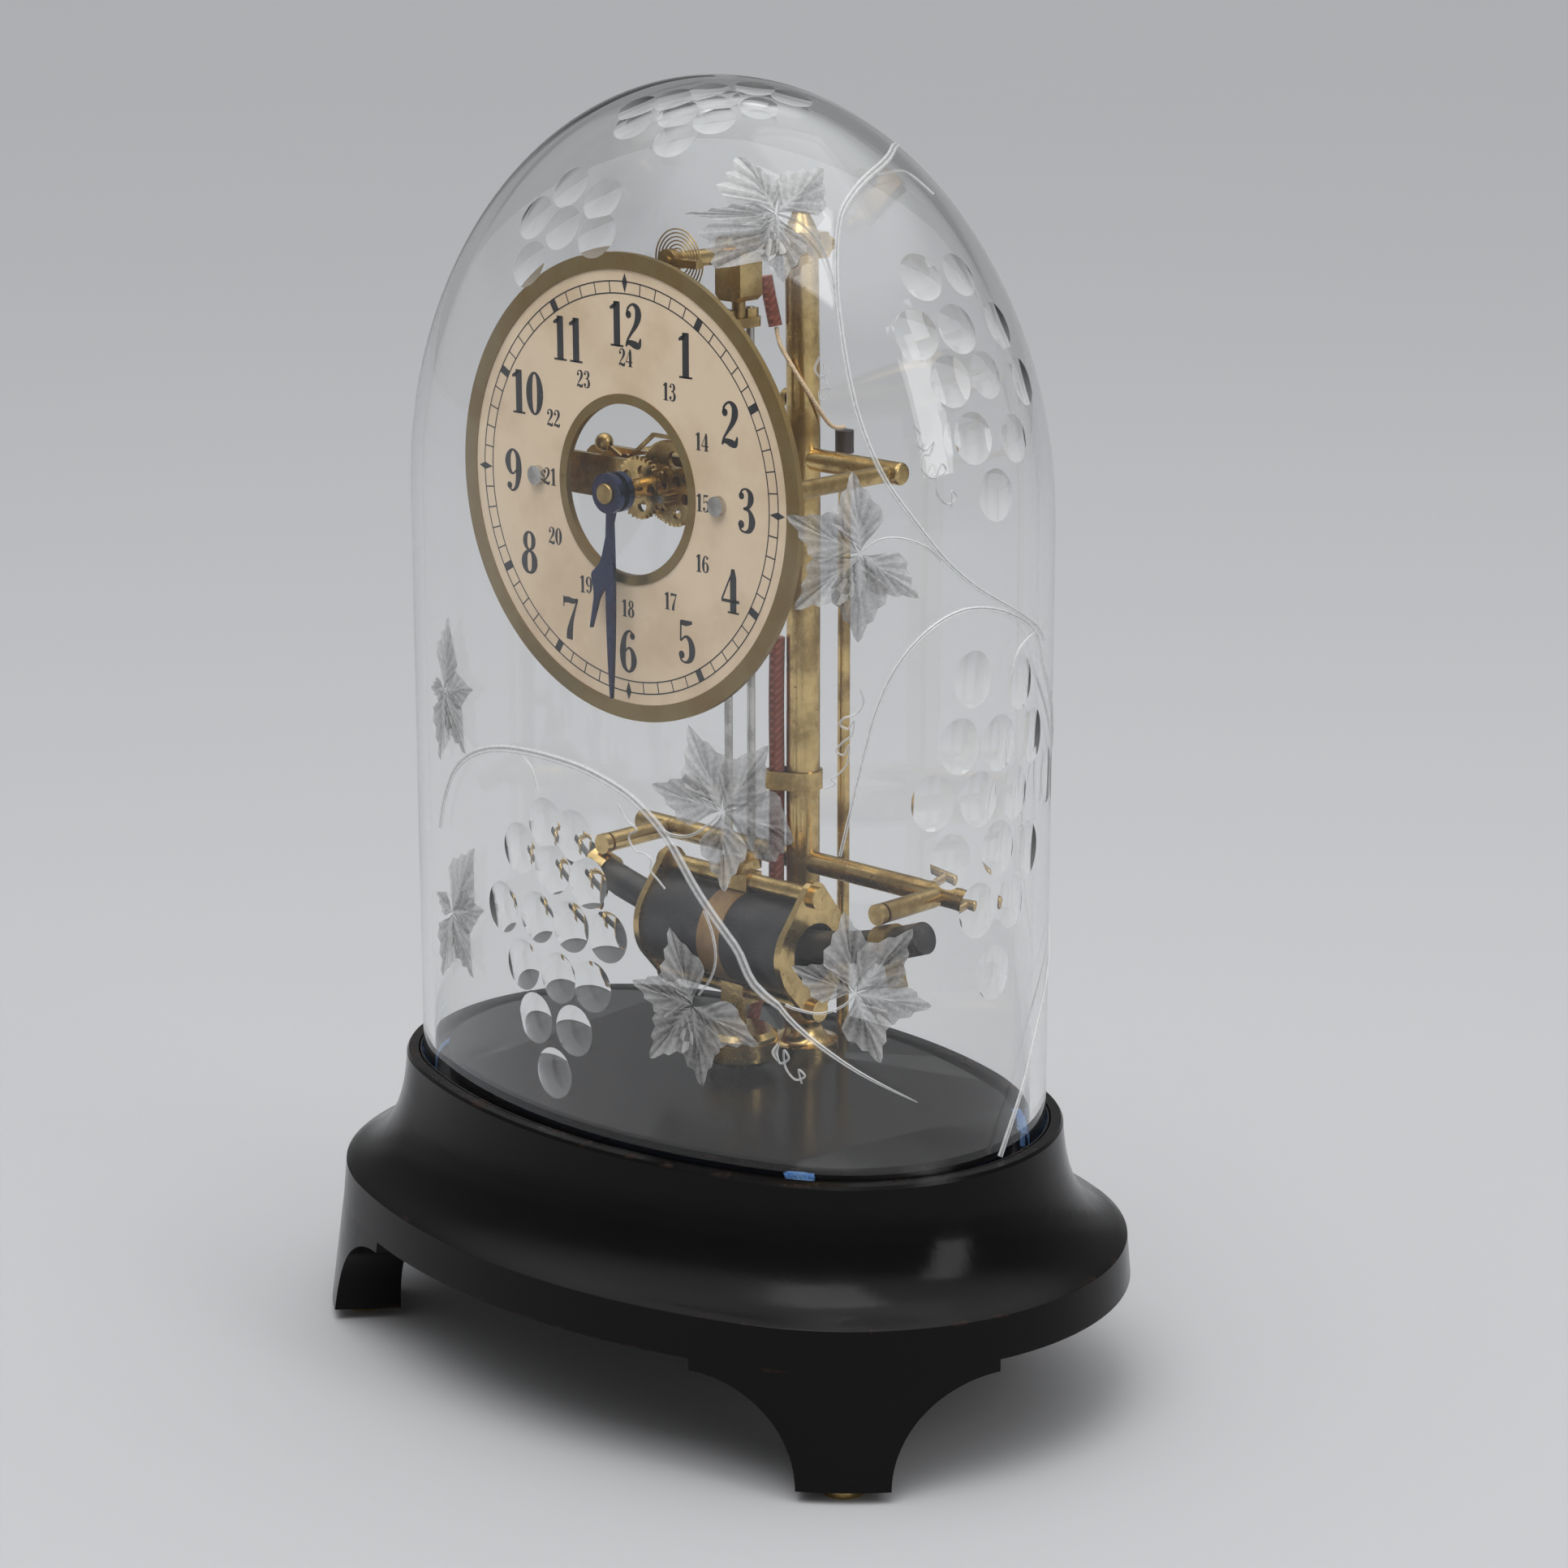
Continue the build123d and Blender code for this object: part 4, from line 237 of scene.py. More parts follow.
def aged_metal(name, bright, dull, stain, rough, stain_from):
    """Polished metal that has browned in patches and spotted."""
    finish = Finish(name, Metallic=1.0)
    patches = finish.span(finish.cloud(75.0), 0.36, 0.66)
    specks = finish.span(finish.cloud(420.0, 7.0, 0.7), stain_from, stain_from + 0.12)
    polish = finish.span(patches, 0.0, 1.0, *rough)
    finish.give(
        Base_Color=finish.mixed(specks, finish.mixed(patches, bright, dull), stain),
        Roughness=finish.maths("ADD", polish, finish.maths("MULTIPLY", specks, 0.25)),
    )
    finish.relief(finish.cloud(900.0, 3.0), 0.12, 0.0004)
    return finish.material


WORN_EDGES = ((0.0440, 0.0009), (0.0331, 0.0008), (0.0752, 0.0007), (0.0034, 0.0012))


def ebonised_wood():
    """Black stained wood, worn to brown along its arrises and chipped."""
    finish = Finish("ebonised_wood", Specular_IOR_Level=0.14)
    level = finish.add("ShaderNodeSeparateXYZ", Vector=finish.place).outputs["Z"]
    edges = 0.0
    for edge, half in WORN_EDGES:
        edges = finish.maths("MAXIMUM", edges, finish.band(level, edge, half))
    rubbed = finish.maths("MULTIPLY", edges, finish.span(finish.cloud(110.0, 8.0), 0.53, 0.66, 0.0, 0.5))
    chips = finish.span(finish.cloud(330.0, 6.0, 0.75), 0.735, 0.76, 0.0, 0.6)
    worn = finish.maths("MAXIMUM", rubbed, chips)
    polish = finish.span(finish.cloud(45.0), 0.3, 0.7, 0.14, 0.24)
    finish.give(
        Base_Color=finish.mixed(worn, "ebony", "bare_wood"),
        Roughness=finish.maths("ADD", polish, finish.maths("MULTIPLY", worn, 0.3)),
    )
    along_grain = finish.make("ShaderNodeMapping", Vector=finish.place, Scale=(0.35, 3.0, 3.0))
    finish.relief(finish.cloud(60.0, 8.0, place=along_grain), 0.10, 0.0006)
    return finish.material


def cream_paper():
    """Dial paper, browned in patches and specked."""
    finish = Finish("cream_paper", Roughness=0.62)
    patches = finish.span(finish.cloud(48.0, 7.0), 0.38, 0.74)
    specks = finish.span(finish.cloud(900.0, 4.0), 0.70, 0.76)
    ground = finish.mixed(patches, "paper", "paper_aged")
    finish.give(Base_Color=finish.mixed(specks, ground, (0.34, 0.20, 0.09)))
    finish.relief(finish.cloud(1600.0, 3.0), 0.10, 0.0003)
    return finish.material


def dial_ink():
    """Printer's black with thin places."""
    finish = Finish("dial_ink", Roughness=0.48)
    thin = finish.span(finish.cloud(1500.0), 0.58, 0.74)
    finish.give(Base_Color=finish.mixed(thin, "ink", (0.05, 0.043, 0.038)))
    finish.relief(finish.cloud(1900.0), 0.08, 0.0002)
    return finish.material


def covered(name, ground, lighter, rough, weave, depth):
    """A soft or painted covering with a fine uneven surface."""
    finish = Finish(name)
    patches = finish.span(finish.cloud(130.0, 6.0), 0.38, 0.70)
    polish = finish.span(finish.cloud(70.0), 0.3, 0.7, *rough)
    finish.give(Base_Color=finish.mixed(patches, ground, lighter), Roughness=polish)
    finish.relief(finish.cloud(weave, 4.0), 0.35, depth)
    return finish.material


def braided(name, ground, lighter, threads_per_metre):
    """Braided thread, crossing both ways round an upright lead."""
    finish = Finish(name, Roughness=0.78, Sheen_Weight=0.25)
    waves = []
    for lean in (1.0, -1.0):
        turn = (0.0, lean * math.radians(48), lean * math.radians(40))
        turned = finish.make("ShaderNodeMapping", Vector=finish.place, Rotation=turn)
        wave = finish.add(
            "ShaderNodeTexWave", {"wave_type": "BANDS", "bands_direction": "X"}, Scale=threads_per_metre,
            Distortion=0.6, Vector=turned,
        )
        waves.append(wave.outputs["Fac"])
    threads = finish.maths("MULTIPLY", *waves)
    finish.give(Base_Color=finish.mixed(threads, ground, lighter))
    finish.relief(threads, 0.6, 0.0004)
    return finish.material


def clear_glass():
    """Old blown glass with faint waves and hollows made slightly milky as a painted highlight, which lets
    light through to the inside.
    """
    finish = Finish("clear_glass", Roughness=0.0, IOR=1.47, Base_Color=(0.985, 0.99, 0.99, 1.0))
    # Less transmission in the marked hollows whitens them: a painted highlight, strongest toward the foot of
    # each.
    finish.give(Transmission_Weight=finish.span(finish.painted("cut"), 0.0, 1.0, 1.0, 0.80))
    finish.relief(finish.cloud(14.0, 1.0), 0.05, 0.002)
    shadow = finish.add("ShaderNodeLightPath").outputs["Is Shadow Ray"]
    clear = finish.make("ShaderNodeBsdfTransparent")
    both = finish.make("ShaderNodeMixShader", _0=shadow, _1=finish.shader.outputs["BSDF"], _2=clear)
    finish.tree.links.new(both, finish.tree.nodes["Material Output"].inputs["Surface"])
    return finish.material


def ground_glass(name, dark, light, cover, rough):
    """Matt ground glass that still lets some of the scene through; its flutes and ridges carry painted light
    and shade.
    """
    finish = Finish(name, Roughness=rough, Alpha=cover)
    strokes = finish.cloud(900.0, 4.0)
    # The shade attribute is painted light and shade of the flutes, roughened by random strokes.
    uneven = finish.maths("ADD", finish.painted("shade"), finish.span(strokes, 0.3, 0.7, -0.10, 0.10))
    finish.give(Base_Color=finish.mixed(uneven, dark, light))
    finish.relief(strokes, 0.20, 0.0004)
    return finish.material


def aged_brass():
    return aged_metal("aged_brass", "brass_bright", "brass_dull", "brass_stain", (0.17, 0.36), 0.60)


def dial_bronze():
    return aged_metal("dial_bronze", "bronze", "brass_dull", "brass_stain", (0.34, 0.50), 0.64)


def bright_steel():
    return aged_metal("bright_steel", "steel", (0.34, 0.33, 0.31), (0.10, 0.07, 0.05), (0.18, 0.34), 0.62)


def blued_steel():
    return aged_metal("blued_steel", "blue_steel", "blue_violet", (0.02, 0.02, 0.05), (0.24, 0.36), 0.66)


def black_enamel():
    return covered("black_enamel", "enamel", (0.045, 0.04, 0.035), (0.24, 0.42), 700.0, 0.0003)


def coil_covering():
    return covered("coil_covering", "coil_black", (0.03, 0.03, 0.034), (0.34, 0.52), 1500.0, 0.0004)


def coil_strip():
    return covered("coil_strip", "coil_brown", (0.30, 0.19, 0.085), (0.36, 0.55), 800.0, 0.0003)


def terminal_dark():
    return covered("terminal_dark", "terminal", (0.05, 0.035, 0.028), (0.35, 0.5), 600.0, 0.0003)


def cell_card():
    return covered("cell_card", "card", (0.38, 0.31, 0.22), (0.6, 0.8), 1100.0, 0.0003)


def chenille_pile():
    return covered("chenille_pile", "chenille", (0.16, 0.30, 0.50), (0.8, 0.95), 2200.0, 0.0006)


def sleeve_braid():
    return braided("sleeve_braid", "braid", (0.34, 0.10, 0.055), 260.0)


def lead_cotton():
    return braided("lead_cotton", "cotton", (0.80, 0.64, 0.44), 520.0)


def leaf_cutting():
    return ground_glass("leaf_cutting", (0.055, 0.054, 0.053), (0.74, 0.735, 0.725), 0.66, 0.36)


def stem_cutting():
    return ground_glass("stem_cutting", (0.20, 0.20, 0.20), (0.86, 0.86, 0.86), 0.64, 0.20)


NODE_FINISHES = {
    "ebonised_wood": ebonised_wood,
    "brass": aged_brass,
    "gilt_dial": dial_bronze,
    "blued_steel": blued_steel,
    "steel": bright_steel,
    "magnet_black": black_enamel,
    "coil_cover": coil_covering,
    "coil_strip": coil_strip,
    "dial_paper": cream_paper,
    "clear_glass": clear_glass,
    "seal_strip": chenille_pile,
    "sleeve_cloth": sleeve_braid,
    "lead_cotton": lead_cotton,
    "terminal_dark": terminal_dark,
    "cell_card": cell_card,
}
MADE_FINISHES = {}


def own_finish(maker):
    """A finish, made once."""
    if maker not in MADE_FINISHES:
        MADE_FINISHES[maker] = maker()
    return MADE_FINISHES[maker]


def finish_of(slot):
    """The finish of a record slot."""
    return own_finish(NODE_FINISHES[slot])


def linked(name, data):
    """A new object at the origin."""
    piece = bpy.data.objects.new(name, data)
    bpy.context.collection.objects.link(piece)
    return piece


def new_mesh(name, verts, edges=(), faces=()):
    mesh = bpy.data.meshes.new(name)
    mesh.from_pydata(verts, edges, faces)
    return mesh


def dressed(piece, finish, body=FRAME_BODY):
    """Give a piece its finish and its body."""
    piece.data.materials.clear()
    piece.data.materials.append(finish)
    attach(piece, body)
    return piece


def mesh_piece(name, verts, faces, finish, body=FRAME_BODY):
    """A plain mesh piece that rides on a body."""
    mesh = new_mesh(name, verts, faces=faces)
    mesh.validate()
    return dressed(linked(name, mesh), finish, body)


def rounded(mesh, angle):
    """Shade a mesh smoothly across edges of up to an angle in degrees."""
    mesh.polygons.foreach_set("use_smooth", [True] * len(mesh.polygons))
    mesh.set_sharp_from_angle(angle=math.radians(angle))


def smooth_line(points, steps=7):
    """Points along a smooth line through the given ones; every number of a point is smoothed alike."""
    ends = [points[0], *points, points[-1]]
    line = []
    for near in zip(ends, ends[1:], ends[2:], ends[3:]):
        for step in range(steps):
            t = step / steps
            line.append(tuple(
                q + 0.5 * t * (r - p + t * (2 * p - 5 * q + 4 * r - s + t * (3 * (q - r) + s - p)))
                for p, q, r, s in zip(*near)
            ))
    return line + [points[-1]]


class Print:
    """Flat printed marks, gathered into one mesh."""

    def __init__(self, level):
        self.level = level
        self.verts = []
        self.faces = []

    def outline(self, points):
        """One filled face; points run anticlockwise as the dial is read."""
        first = len(self.verts)
        self.verts += [Vector((x, self.level, z)) for x, z in points]
        self.faces.append(tuple(range(first, len(self.verts))))

    def ribbon(self, points):
        """A stroke along points of x, z and width."""
        first = len(self.verts)
        for before, here, after in zip([points[0], *points], points, [*points[1:], points[-1]]):
            along = Vector((after[0] - before[0], after[1] - before[1])).normalized()
            side = Vector((along.y, -along.x)) * here[2] / 2
            for sign in (1, -1):
                self.verts.append(Vector((here[0] + sign * side.x, self.level, here[1] + sign * side.y)))
        for i in range(first, len(self.verts) - 2, 2):
            self.faces.append((i, i + 2, i + 3, i + 1))

    def dot(self, x, z, radius, sides=18):
        turns = [2 * math.pi * i / sides for i in range(sides)]
        self.outline([(x + radius * math.cos(t), z + radius * math.sin(t)) for t in turns])

    def circle(self, radius, width, sides=180):
        turns = [2 * math.pi * i / sides for i in range(sides + 1)]
        x, z = DIAL_MIDDLE.x, DIAL_MIDDLE.z
        self.ribbon([(x + radius * math.cos(t), z + radius * math.sin(t), width) for t in turns])


BOWL_SIDES = 40
BOWL_SWELL = 1.6


def loop(x, z, half_x, half_z, thin, thick):
    """A round bowl, thin at its top and bottom and thick at its sides."""
    bowl = []
    for side in range(BOWL_SIDES + 1):
        turn = 2 * math.pi * side / BOWL_SIDES
        width = thin + (thick - thin) * abs(math.cos(turn)) ** BOWL_SWELL
        bowl.append((x + half_x * math.cos(turn), z + half_z * math.sin(turn), width))
    return bowl


def bend(*points):
    return smooth_line(points)


USUAL_ADVANCE = 0.56
FIGURE_ADVANCE = {"1": 0.50}
SIX = (
    bend((0.43, 0.90, 0.05), (0.31, 0.965, 0.05), (0.17, 0.83, 0.12), (0.105, 0.50, 0.19),
         (0.135, 0.17, 0.14), (0.28, 0.03, 0.055), (0.41, 0.13, 0.13), (0.455, 0.31, 0.18),
         (0.40, 0.50, 0.12), (0.29, 0.575, 0.05), (0.17, 0.47, 0.05)),
)
FIGURE_STROKES = {
    "0": (loop(0.28, 0.5, 0.175, 0.465, 0.05, 0.20),),
    "1": (((0.27, 0.0, 0.20), (0.27, 0.99, 0.20)),
          ((0.06, 0.83, 0.06), (0.16, 0.87, 0.10), (0.30, 0.985, 0.03)),
          ((0.07, 0.022, 0.045), (0.47, 0.022, 0.045))),
    "2": (bend((0.085, 0.72, 0.05), (0.12, 0.87, 0.06), (0.26, 0.965, 0.06), (0.40, 0.89, 0.15),
               (0.435, 0.73, 0.19), (0.37, 0.54, 0.14), (0.22, 0.34, 0.08), (0.10, 0.17, 0.06),
               (0.06, 0.03, 0.06)),
          bend((0.05, 0.09, 0.05), (0.17, 0.12, 0.12), (0.33, 0.085, 0.17), (0.45, 0.075, 0.13),
               (0.505, 0.24, 0.04))),
    "3": (bend((0.09, 0.82, 0.05), (0.15, 0.93, 0.05), (0.27, 0.967, 0.05), (0.39, 0.88, 0.14),
               (0.41, 0.73, 0.17), (0.33, 0.58, 0.09), (0.19, 0.535, 0.05)),
          bend((0.19, 0.535, 0.05), (0.36, 0.50, 0.09), (0.45, 0.29, 0.19), (0.39, 0.10, 0.14),
               (0.25, 0.03, 0.055), (0.11, 0.07, 0.05), (0.07, 0.19, 0.05))),
    "4": (((0.37, 0.99, 0.04), (0.03, 0.30, 0.05)), ((0.015, 0.275, 0.07), (0.55, 0.275, 0.07)),
          ((0.36, 0.99, 0.10), (0.37, 0.80, 0.19), (0.37, 0.0, 0.19)),
          ((0.20, 0.022, 0.045), (0.54, 0.022, 0.045))),
    "5": (((0.105, 0.955, 0.05), (0.095, 0.50, 0.05)),
          bend((0.09, 0.93, 0.10), (0.25, 0.915, 0.13), (0.45, 0.95, 0.07)),
          bend((0.095, 0.50, 0.05), (0.25, 0.615, 0.06), (0.39, 0.53, 0.14), (0.45, 0.32, 0.19),
               (0.40, 0.12, 0.14), (0.25, 0.03, 0.055), (0.11, 0.07, 0.05), (0.07, 0.19, 0.05))),
    "6": SIX,
    "7": (bend((0.045, 0.90, 0.14), (0.20, 0.915, 0.14), (0.36, 0.90, 0.12), (0.50, 0.955, 0.05)),
          ((0.045, 0.985, 0.045), (0.045, 0.74, 0.03)),
          bend((0.49, 0.95, 0.05), (0.40, 0.72, 0.07), (0.30, 0.45, 0.12), (0.235, 0.20, 0.19),
               (0.22, 0.0, 0.20))),
    "8": (loop(0.275, 0.765, 0.135, 0.20, 0.05, 0.14), loop(0.275, 0.28, 0.165, 0.25, 0.055, 0.19)),
    "9": tuple([(USUAL_ADVANCE - x, 1.0 - z, wide) for x, z, wide in stroke] for stroke in SIX),
}
FIGURE_BALLS = {
    "2": ((0.135, 0.735, 0.085),),
    "3": ((0.135, 0.81, 0.08), (0.125, 0.19, 0.09)),
    "5": ((0.125, 0.19, 0.09),),
    "6": ((0.41, 0.855, 0.08),),
    "9": ((0.15, 0.145, 0.08),),
}


def set_figures(sheet, text, x, z, height):
    """Upright figures centred on a point of the dial."""
    wide = sum(FIGURE_ADVANCE.get(figure, USUAL_ADVANCE) for figure in text) * height
    left = x - wide / 2
    low = z - height / 2
    for figure in text:
        for stroke in FIGURE_STROKES[figure]:
            sheet.ribbon([(left + a * height, low + b * height, w * height) for a, b, w in stroke])
        for a, b, r in FIGURE_BALLS.get(figure, ()):
            sheet.dot(left + a * height, low + b * height, r * height)
        left += FIGURE_ADVANCE.get(figure, USUAL_ADVANCE) * height


def clockwise(place, radius):
    """The dial point at a place counted in twelfths from the top."""
    turn = math.radians(30 * place)
    return DIAL_MIDDLE.x + radius * math.sin(turn), DIAL_MIDDLE.z + radius * math.cos(turn)


class NodeTree(Nodes):
    """A geometry node group under construction."""

    def __init__(self, name, **inputs):
        super().__init__(bpy.data.node_groups.new(name, "GeometryNodeTree"))
        self.tree.interface.new_socket("Geometry", in_out="OUTPUT", socket_type="NodeSocketGeometry")
        for label, kind in {"Start": "Geometry", **inputs, "Finish": "Material"}.items():
            self.tree.interface.new_socket(label, in_out="INPUT", socket_type=f"NodeSocket{kind}")
        self.given = self.tree.nodes.new("NodeGroupInput")
        self.result = self.tree.nodes.new("NodeGroupOutput")

    def asked(self, label):
        return self.given.outputs[label]

    def shape(self, label):
        """The geometry of an object that was asked for."""
        return self.add("GeometryNodeObjectInfo", Object=self.asked(label)).outputs["Geometry"]

    def named(self, label, kind="FLOAT"):
        """A value that the points carry."""
        node = self.add("GeometryNodeInputNamedAttribute", {"data_type": kind}, Name=label)
        return node.outputs["Attribute"]

    def strewn(self, low, high, seed):
        """A random vector for each point."""
        settings = {"data_type": "FLOAT_VECTOR"}
        return self.make("FunctionNodeRandomValue", settings, _0=low, _1=high, Seed=seed)

    def boolean(self, operation, **meshes):
        settings = {"operation": operation, "solver": "MANIFOLD"}
        return self.make("GeometryNodeMeshBoolean", settings, **meshes)

    def round_places(self, lean=0.0):
        """The points of a ring, their numbers and the turn of a piece that stands at each."""
        ring = self.make("GeometryNodeMeshCircle", Vertices=self.asked("Count"), Radius=self.asked("Radius"))
        index = self.make("GeometryNodeInputIndex")
        turn = self.maths("MULTIPLY", index, self.maths("DIVIDE", 2 * math.pi, self.asked("Count")))
        return ring, index, self.make("ShaderNodeCombineXYZ", X=lean, Z=turn)

    def close(self, geometry):
        """End in real geometry with the finish that was asked for."""
        real = self.make("GeometryNodeRealizeInstances", Geometry=geometry)
        done = self.make("GeometryNodeSetMaterial", Geometry=real, Material=self.asked("Finish"))
        self.tree.links.new(done, self.result.inputs["Geometry"])
        return self.tree


def grown(name, tree, values, body=FRAME_BODY, start=None):
    """A piece made by a node tree, turned into a plain mesh at the origin."""
    piece = linked(name, start or bpy.data.meshes.new(name))
    modifier = piece.modifiers.new(name, "NODES")
    modifier.node_group = tree
    for item in tree.interface.items_tree:
        if item.in_out == "INPUT" and item.name in values:
            modifier[item.identifier] = values[item.name]
    graph = bpy.context.evaluated_depsgraph_get()
    made = bpy.data.meshes.new_from_object(piece.evaluated_get(graph))
    piece.modifiers.clear()
    piece.data = made
    dressed(piece, values["Finish"], body)
    made.polygons.foreach_set("material_index", [0] * len(made.polygons))
    return piece


def ring_of_marks_tree():
    """Bars set round the dial, every so many places, with some left out."""
    nodes = NodeTree(
        "ring_of_marks", Count="Int", Every="Int", Skip="Int", Radius="Float", Length="Float", Width="Float",
        Middle="Vector",
    )
    ring, index, aim = nodes.round_places()
    chosen = nodes.maths("LESS_THAN", nodes.maths("MODULO", index, nodes.asked("Every")), 0.5)
    spared = nodes.maths("GREATER_THAN", nodes.maths("MODULO", index, nodes.asked("Skip")), 0.5)
    bar = nodes.make(
        "GeometryNodeMeshGrid", Size_X=nodes.asked("Length"), Size_Y=nodes.asked("Width"), Vertices_X=2,
        Vertices_Y=2,
    )
    bars = nodes.make(
        "GeometryNodeInstanceOnPoints", Points=ring, Instance=bar, Rotation=aim,
        Selection=nodes.maths("MULTIPLY", chosen, spared),
    )
    stood = nodes.make(
        "GeometryNodeTransform", Geometry=bars, Rotation=(math.pi / 2, 0, 0),
        Translation=nodes.asked("Middle"),
    )
    return nodes.close(stood)


PILE_SPREAD = 0.46
PILE_FOOT = 0.4
PILE_LEAN = 0.7
PILE_TURN = 6.2
PLACE_SEED = 3
LEAN_SEED = 8


def pile_ring_tree():
    """A flat strip along a path with short pile standing on it."""
    nodes = NodeTree("pile_ring", Level="Vector", Wide="Float", Thick="Float", Tufts="Int", Pile="Float")
    wide, thick, pile = nodes.asked("Wide"), nodes.asked("Thick"), nodes.asked("Pile")
    path = nodes.make("GeometryNodeMeshToCurve", Mesh=nodes.asked("Start"))
    flat = nodes.make("GeometryNodeSetCurveNormal", {"mode": "Z_UP"}, Curve=path)
    section = nodes.make("GeometryNodeCurvePrimitiveQuadrilateral", Width=wide, Height=thick)
    strip = nodes.make("GeometryNodeCurveToMesh", Curve=flat, Profile_Curve=section, Fill_Caps=True)
    points = nodes.make("GeometryNodeCurveToPoints", Curve=path, Count=nodes.asked("Tufts"))
    half = nodes.maths("MULTIPLY", wide, PILE_SPREAD)
    back = nodes.maths("MULTIPLY", half, -1.0)
    rise = nodes.maths("MULTIPLY", thick, 0.5)
    low = nodes.make("ShaderNodeCombineXYZ", X=back, Y=back, Z=rise)
    high = nodes.make("ShaderNodeCombineXYZ", X=half, Y=half, Z=rise)
    strays = nodes.strewn(low, high, PLACE_SEED)
    spots = nodes.make("GeometryNodeSetPosition", Geometry=points, Offset=strays)
    lean = nodes.strewn((-PILE_LEAN, -PILE_LEAN, 0.0), (PILE_LEAN, PILE_LEAN, PILE_TURN), LEAN_SEED)
    foot = nodes.maths("MULTIPLY", pile, PILE_FOOT)
    fibre = nodes.make("GeometryNodeMeshCone", Vertices=5, Radius_Bottom=foot, Depth=pile)
    fibres = nodes.make("GeometryNodeInstanceOnPoints", Points=spots, Instance=fibre, Rotation=lean)
    both = nodes.make("GeometryNodeJoinGeometry", _0=[strip, fibres])
    return nodes.close(nodes.make("GeometryNodeTransform", Geometry=both, Translation=nodes.asked("Level")))


def leaning_ribs_tree():
    """Leaning ribs round an upright rim."""
    nodes = NodeTree("leaning_ribs", Count="Int", Radius="Float", Rib="Vector", Lean="Float", Middle="Vector")
    ring, _, aim = nodes.round_places(nodes.asked("Lean"))
    rib = nodes.make("GeometryNodeMeshCube", Size=nodes.asked("Rib"))
    ribs = nodes.make("GeometryNodeInstanceOnPoints", Points=ring, Instance=rib, Rotation=aim)
    return nodes.close(nodes.make("GeometryNodeTransform", Geometry=ribs, Translation=nodes.asked("Middle")))


def turned_tree():
    """A turned piece whose old moulding is taken off and whose new one is put on."""
    nodes = NodeTree("turned", Taken="Object", Given="Object")
    core = nodes.boolean("DIFFERENCE", Mesh_1=nodes.asked("Start"), Mesh_2=nodes.shape("Taken"))
    return nodes.close(nodes.boolean("UNION", Mesh_2=[core, nodes.shape("Given")]))


def hollowed_tree():
    """Round hollows ground into a piece by a wheel, each to its own depth."""
    nodes = NodeTree("hollowed", Places="Object")
    out = nodes.named("out", "FLOAT_VECTOR")
    wheel = nodes.named("wheel")
    lift = nodes.maths("SUBTRACT", wheel, nodes.named("depth"))
    lifted = nodes.make("ShaderNodeVectorMath", {"operation": "SCALE"}, _0=out, Scale=lift)
    moved = nodes.make("GeometryNodeSetPosition", Geometry=nodes.shape("Places"), Offset=lifted)
    aim = nodes.make("FunctionNodeAlignEulerToVector", {"axis": "Z"}, Vector=out)
    stone = nodes.make("GeometryNodeMeshUVSphere", Segments=48, Rings=96, Radius=1.0)
    wheels = nodes.make(
        "GeometryNodeInstanceOnPoints", Points=moved, Instance=stone, Rotation=aim, Scale=wheel,
    )
    return nodes.close(nodes.boolean("DIFFERENCE", Mesh_1=nodes.asked("Start"), Mesh_2=wheels))


def lead_piece(name, points, thickness, finish):
    """A smooth covered lead along its route's points, in millimetres."""
    curve = bpy.data.curves.new(name, "CURVE")
    curve.dimensions = "3D"
    spline = curve.splines.new("NURBS")
    spline.points.add(len(points) - 1)
    for spot, place in zip(spline.points, points):
        spot.co = (*(Vector(place) * MM), 1.0)
    spline.order_u = 3
    spline.use_endpoint_u = True
    curve.resolution_u = 10
    curve.bevel_depth = thickness / 2
    curve.bevel_resolution = 4
    curve.use_fill_caps = True
    return dressed(linked(name, curve), finish)


OVAL_HALF = Vector((118.0, 83.0)) * MM
END_RADIUS = 74.0 * MM
END_CENTRE = OVAL_HALF.x - END_RADIUS
SIDE_RADIUS = (END_CENTRE**2 + OVAL_HALF.y**2 - END_RADIUS**2) / (2 * (OVAL_HALF.y - END_RADIUS))
SIDE_CENTRE = SIDE_RADIUS - OVAL_HALF.y
JOIN_TURN = math.atan2(SIDE_CENTRE, END_CENTRE)
GLASS_INSET = 22.0 * MM
GLASS_FOOT = 71.8 * MM
GLASS_SHOULDER = 232.0 * MM
GLASS_CROWN = 110.0 * MM
GLASS_WALL = 4.0 * MM


def on_oval(turn, inset):
    """The point where an inset of the base's four-arc oval faces along an angle, and that direction."""
    out = Vector((math.cos(turn), math.sin(turn)))
    if math.atan2(abs(out.y), abs(out.x)) <= JOIN_TURN:
        middle, radius = Vector((math.copysign(END_CENTRE, out.x), 0.0)), END_RADIUS
    else:
        middle, radius = Vector((0.0, math.copysign(SIDE_CENTRE, -out.y))), SIDE_RADIUS
    return middle + out * (radius - inset), out


def facing(spot):
    """The angle in degrees along which the oval through a flat point faces there."""
    out = spot - Vector((math.copysign(END_CENTRE, spot.x), 0.0))
    if math.atan2(abs(out.y), math.copysign(1.0, spot.x) * out.x) > JOIN_TURN:
        out = spot + Vector((0.0, math.copysign(SIDE_CENTRE, spot.y)))
    return math.degrees(math.atan2(out.y, out.x))


def oval_turns(around, inset):
    """The facing angles of points spaced evenly round an inset oval."""
    end = (END_RADIUS - inset) * 2 * JOIN_TURN
    side = (SIDE_RADIUS - inset) * (math.pi - 2 * JOIN_TURN)
    turns = []
    for step in range(around):
        half, share = divmod(2 * step / around, 1.0)
        way = share * (end + side)
        if way < end:
            turn = way / (END_RADIUS - inset) - JOIN_TURN
        else:
            turn = (way - end) / (SIDE_RADIUS - inset) + JOIN_TURN
        turns.append(turn + half * math.pi)
    return turns


def hoop(low, high, around):
    """The faces between two rings of points, given the first point of each."""
    steps = [(step, (step + 1) % around) for step in range(around)]
    return [(low + step, low + after, high + after, high + step) for step, after in steps]


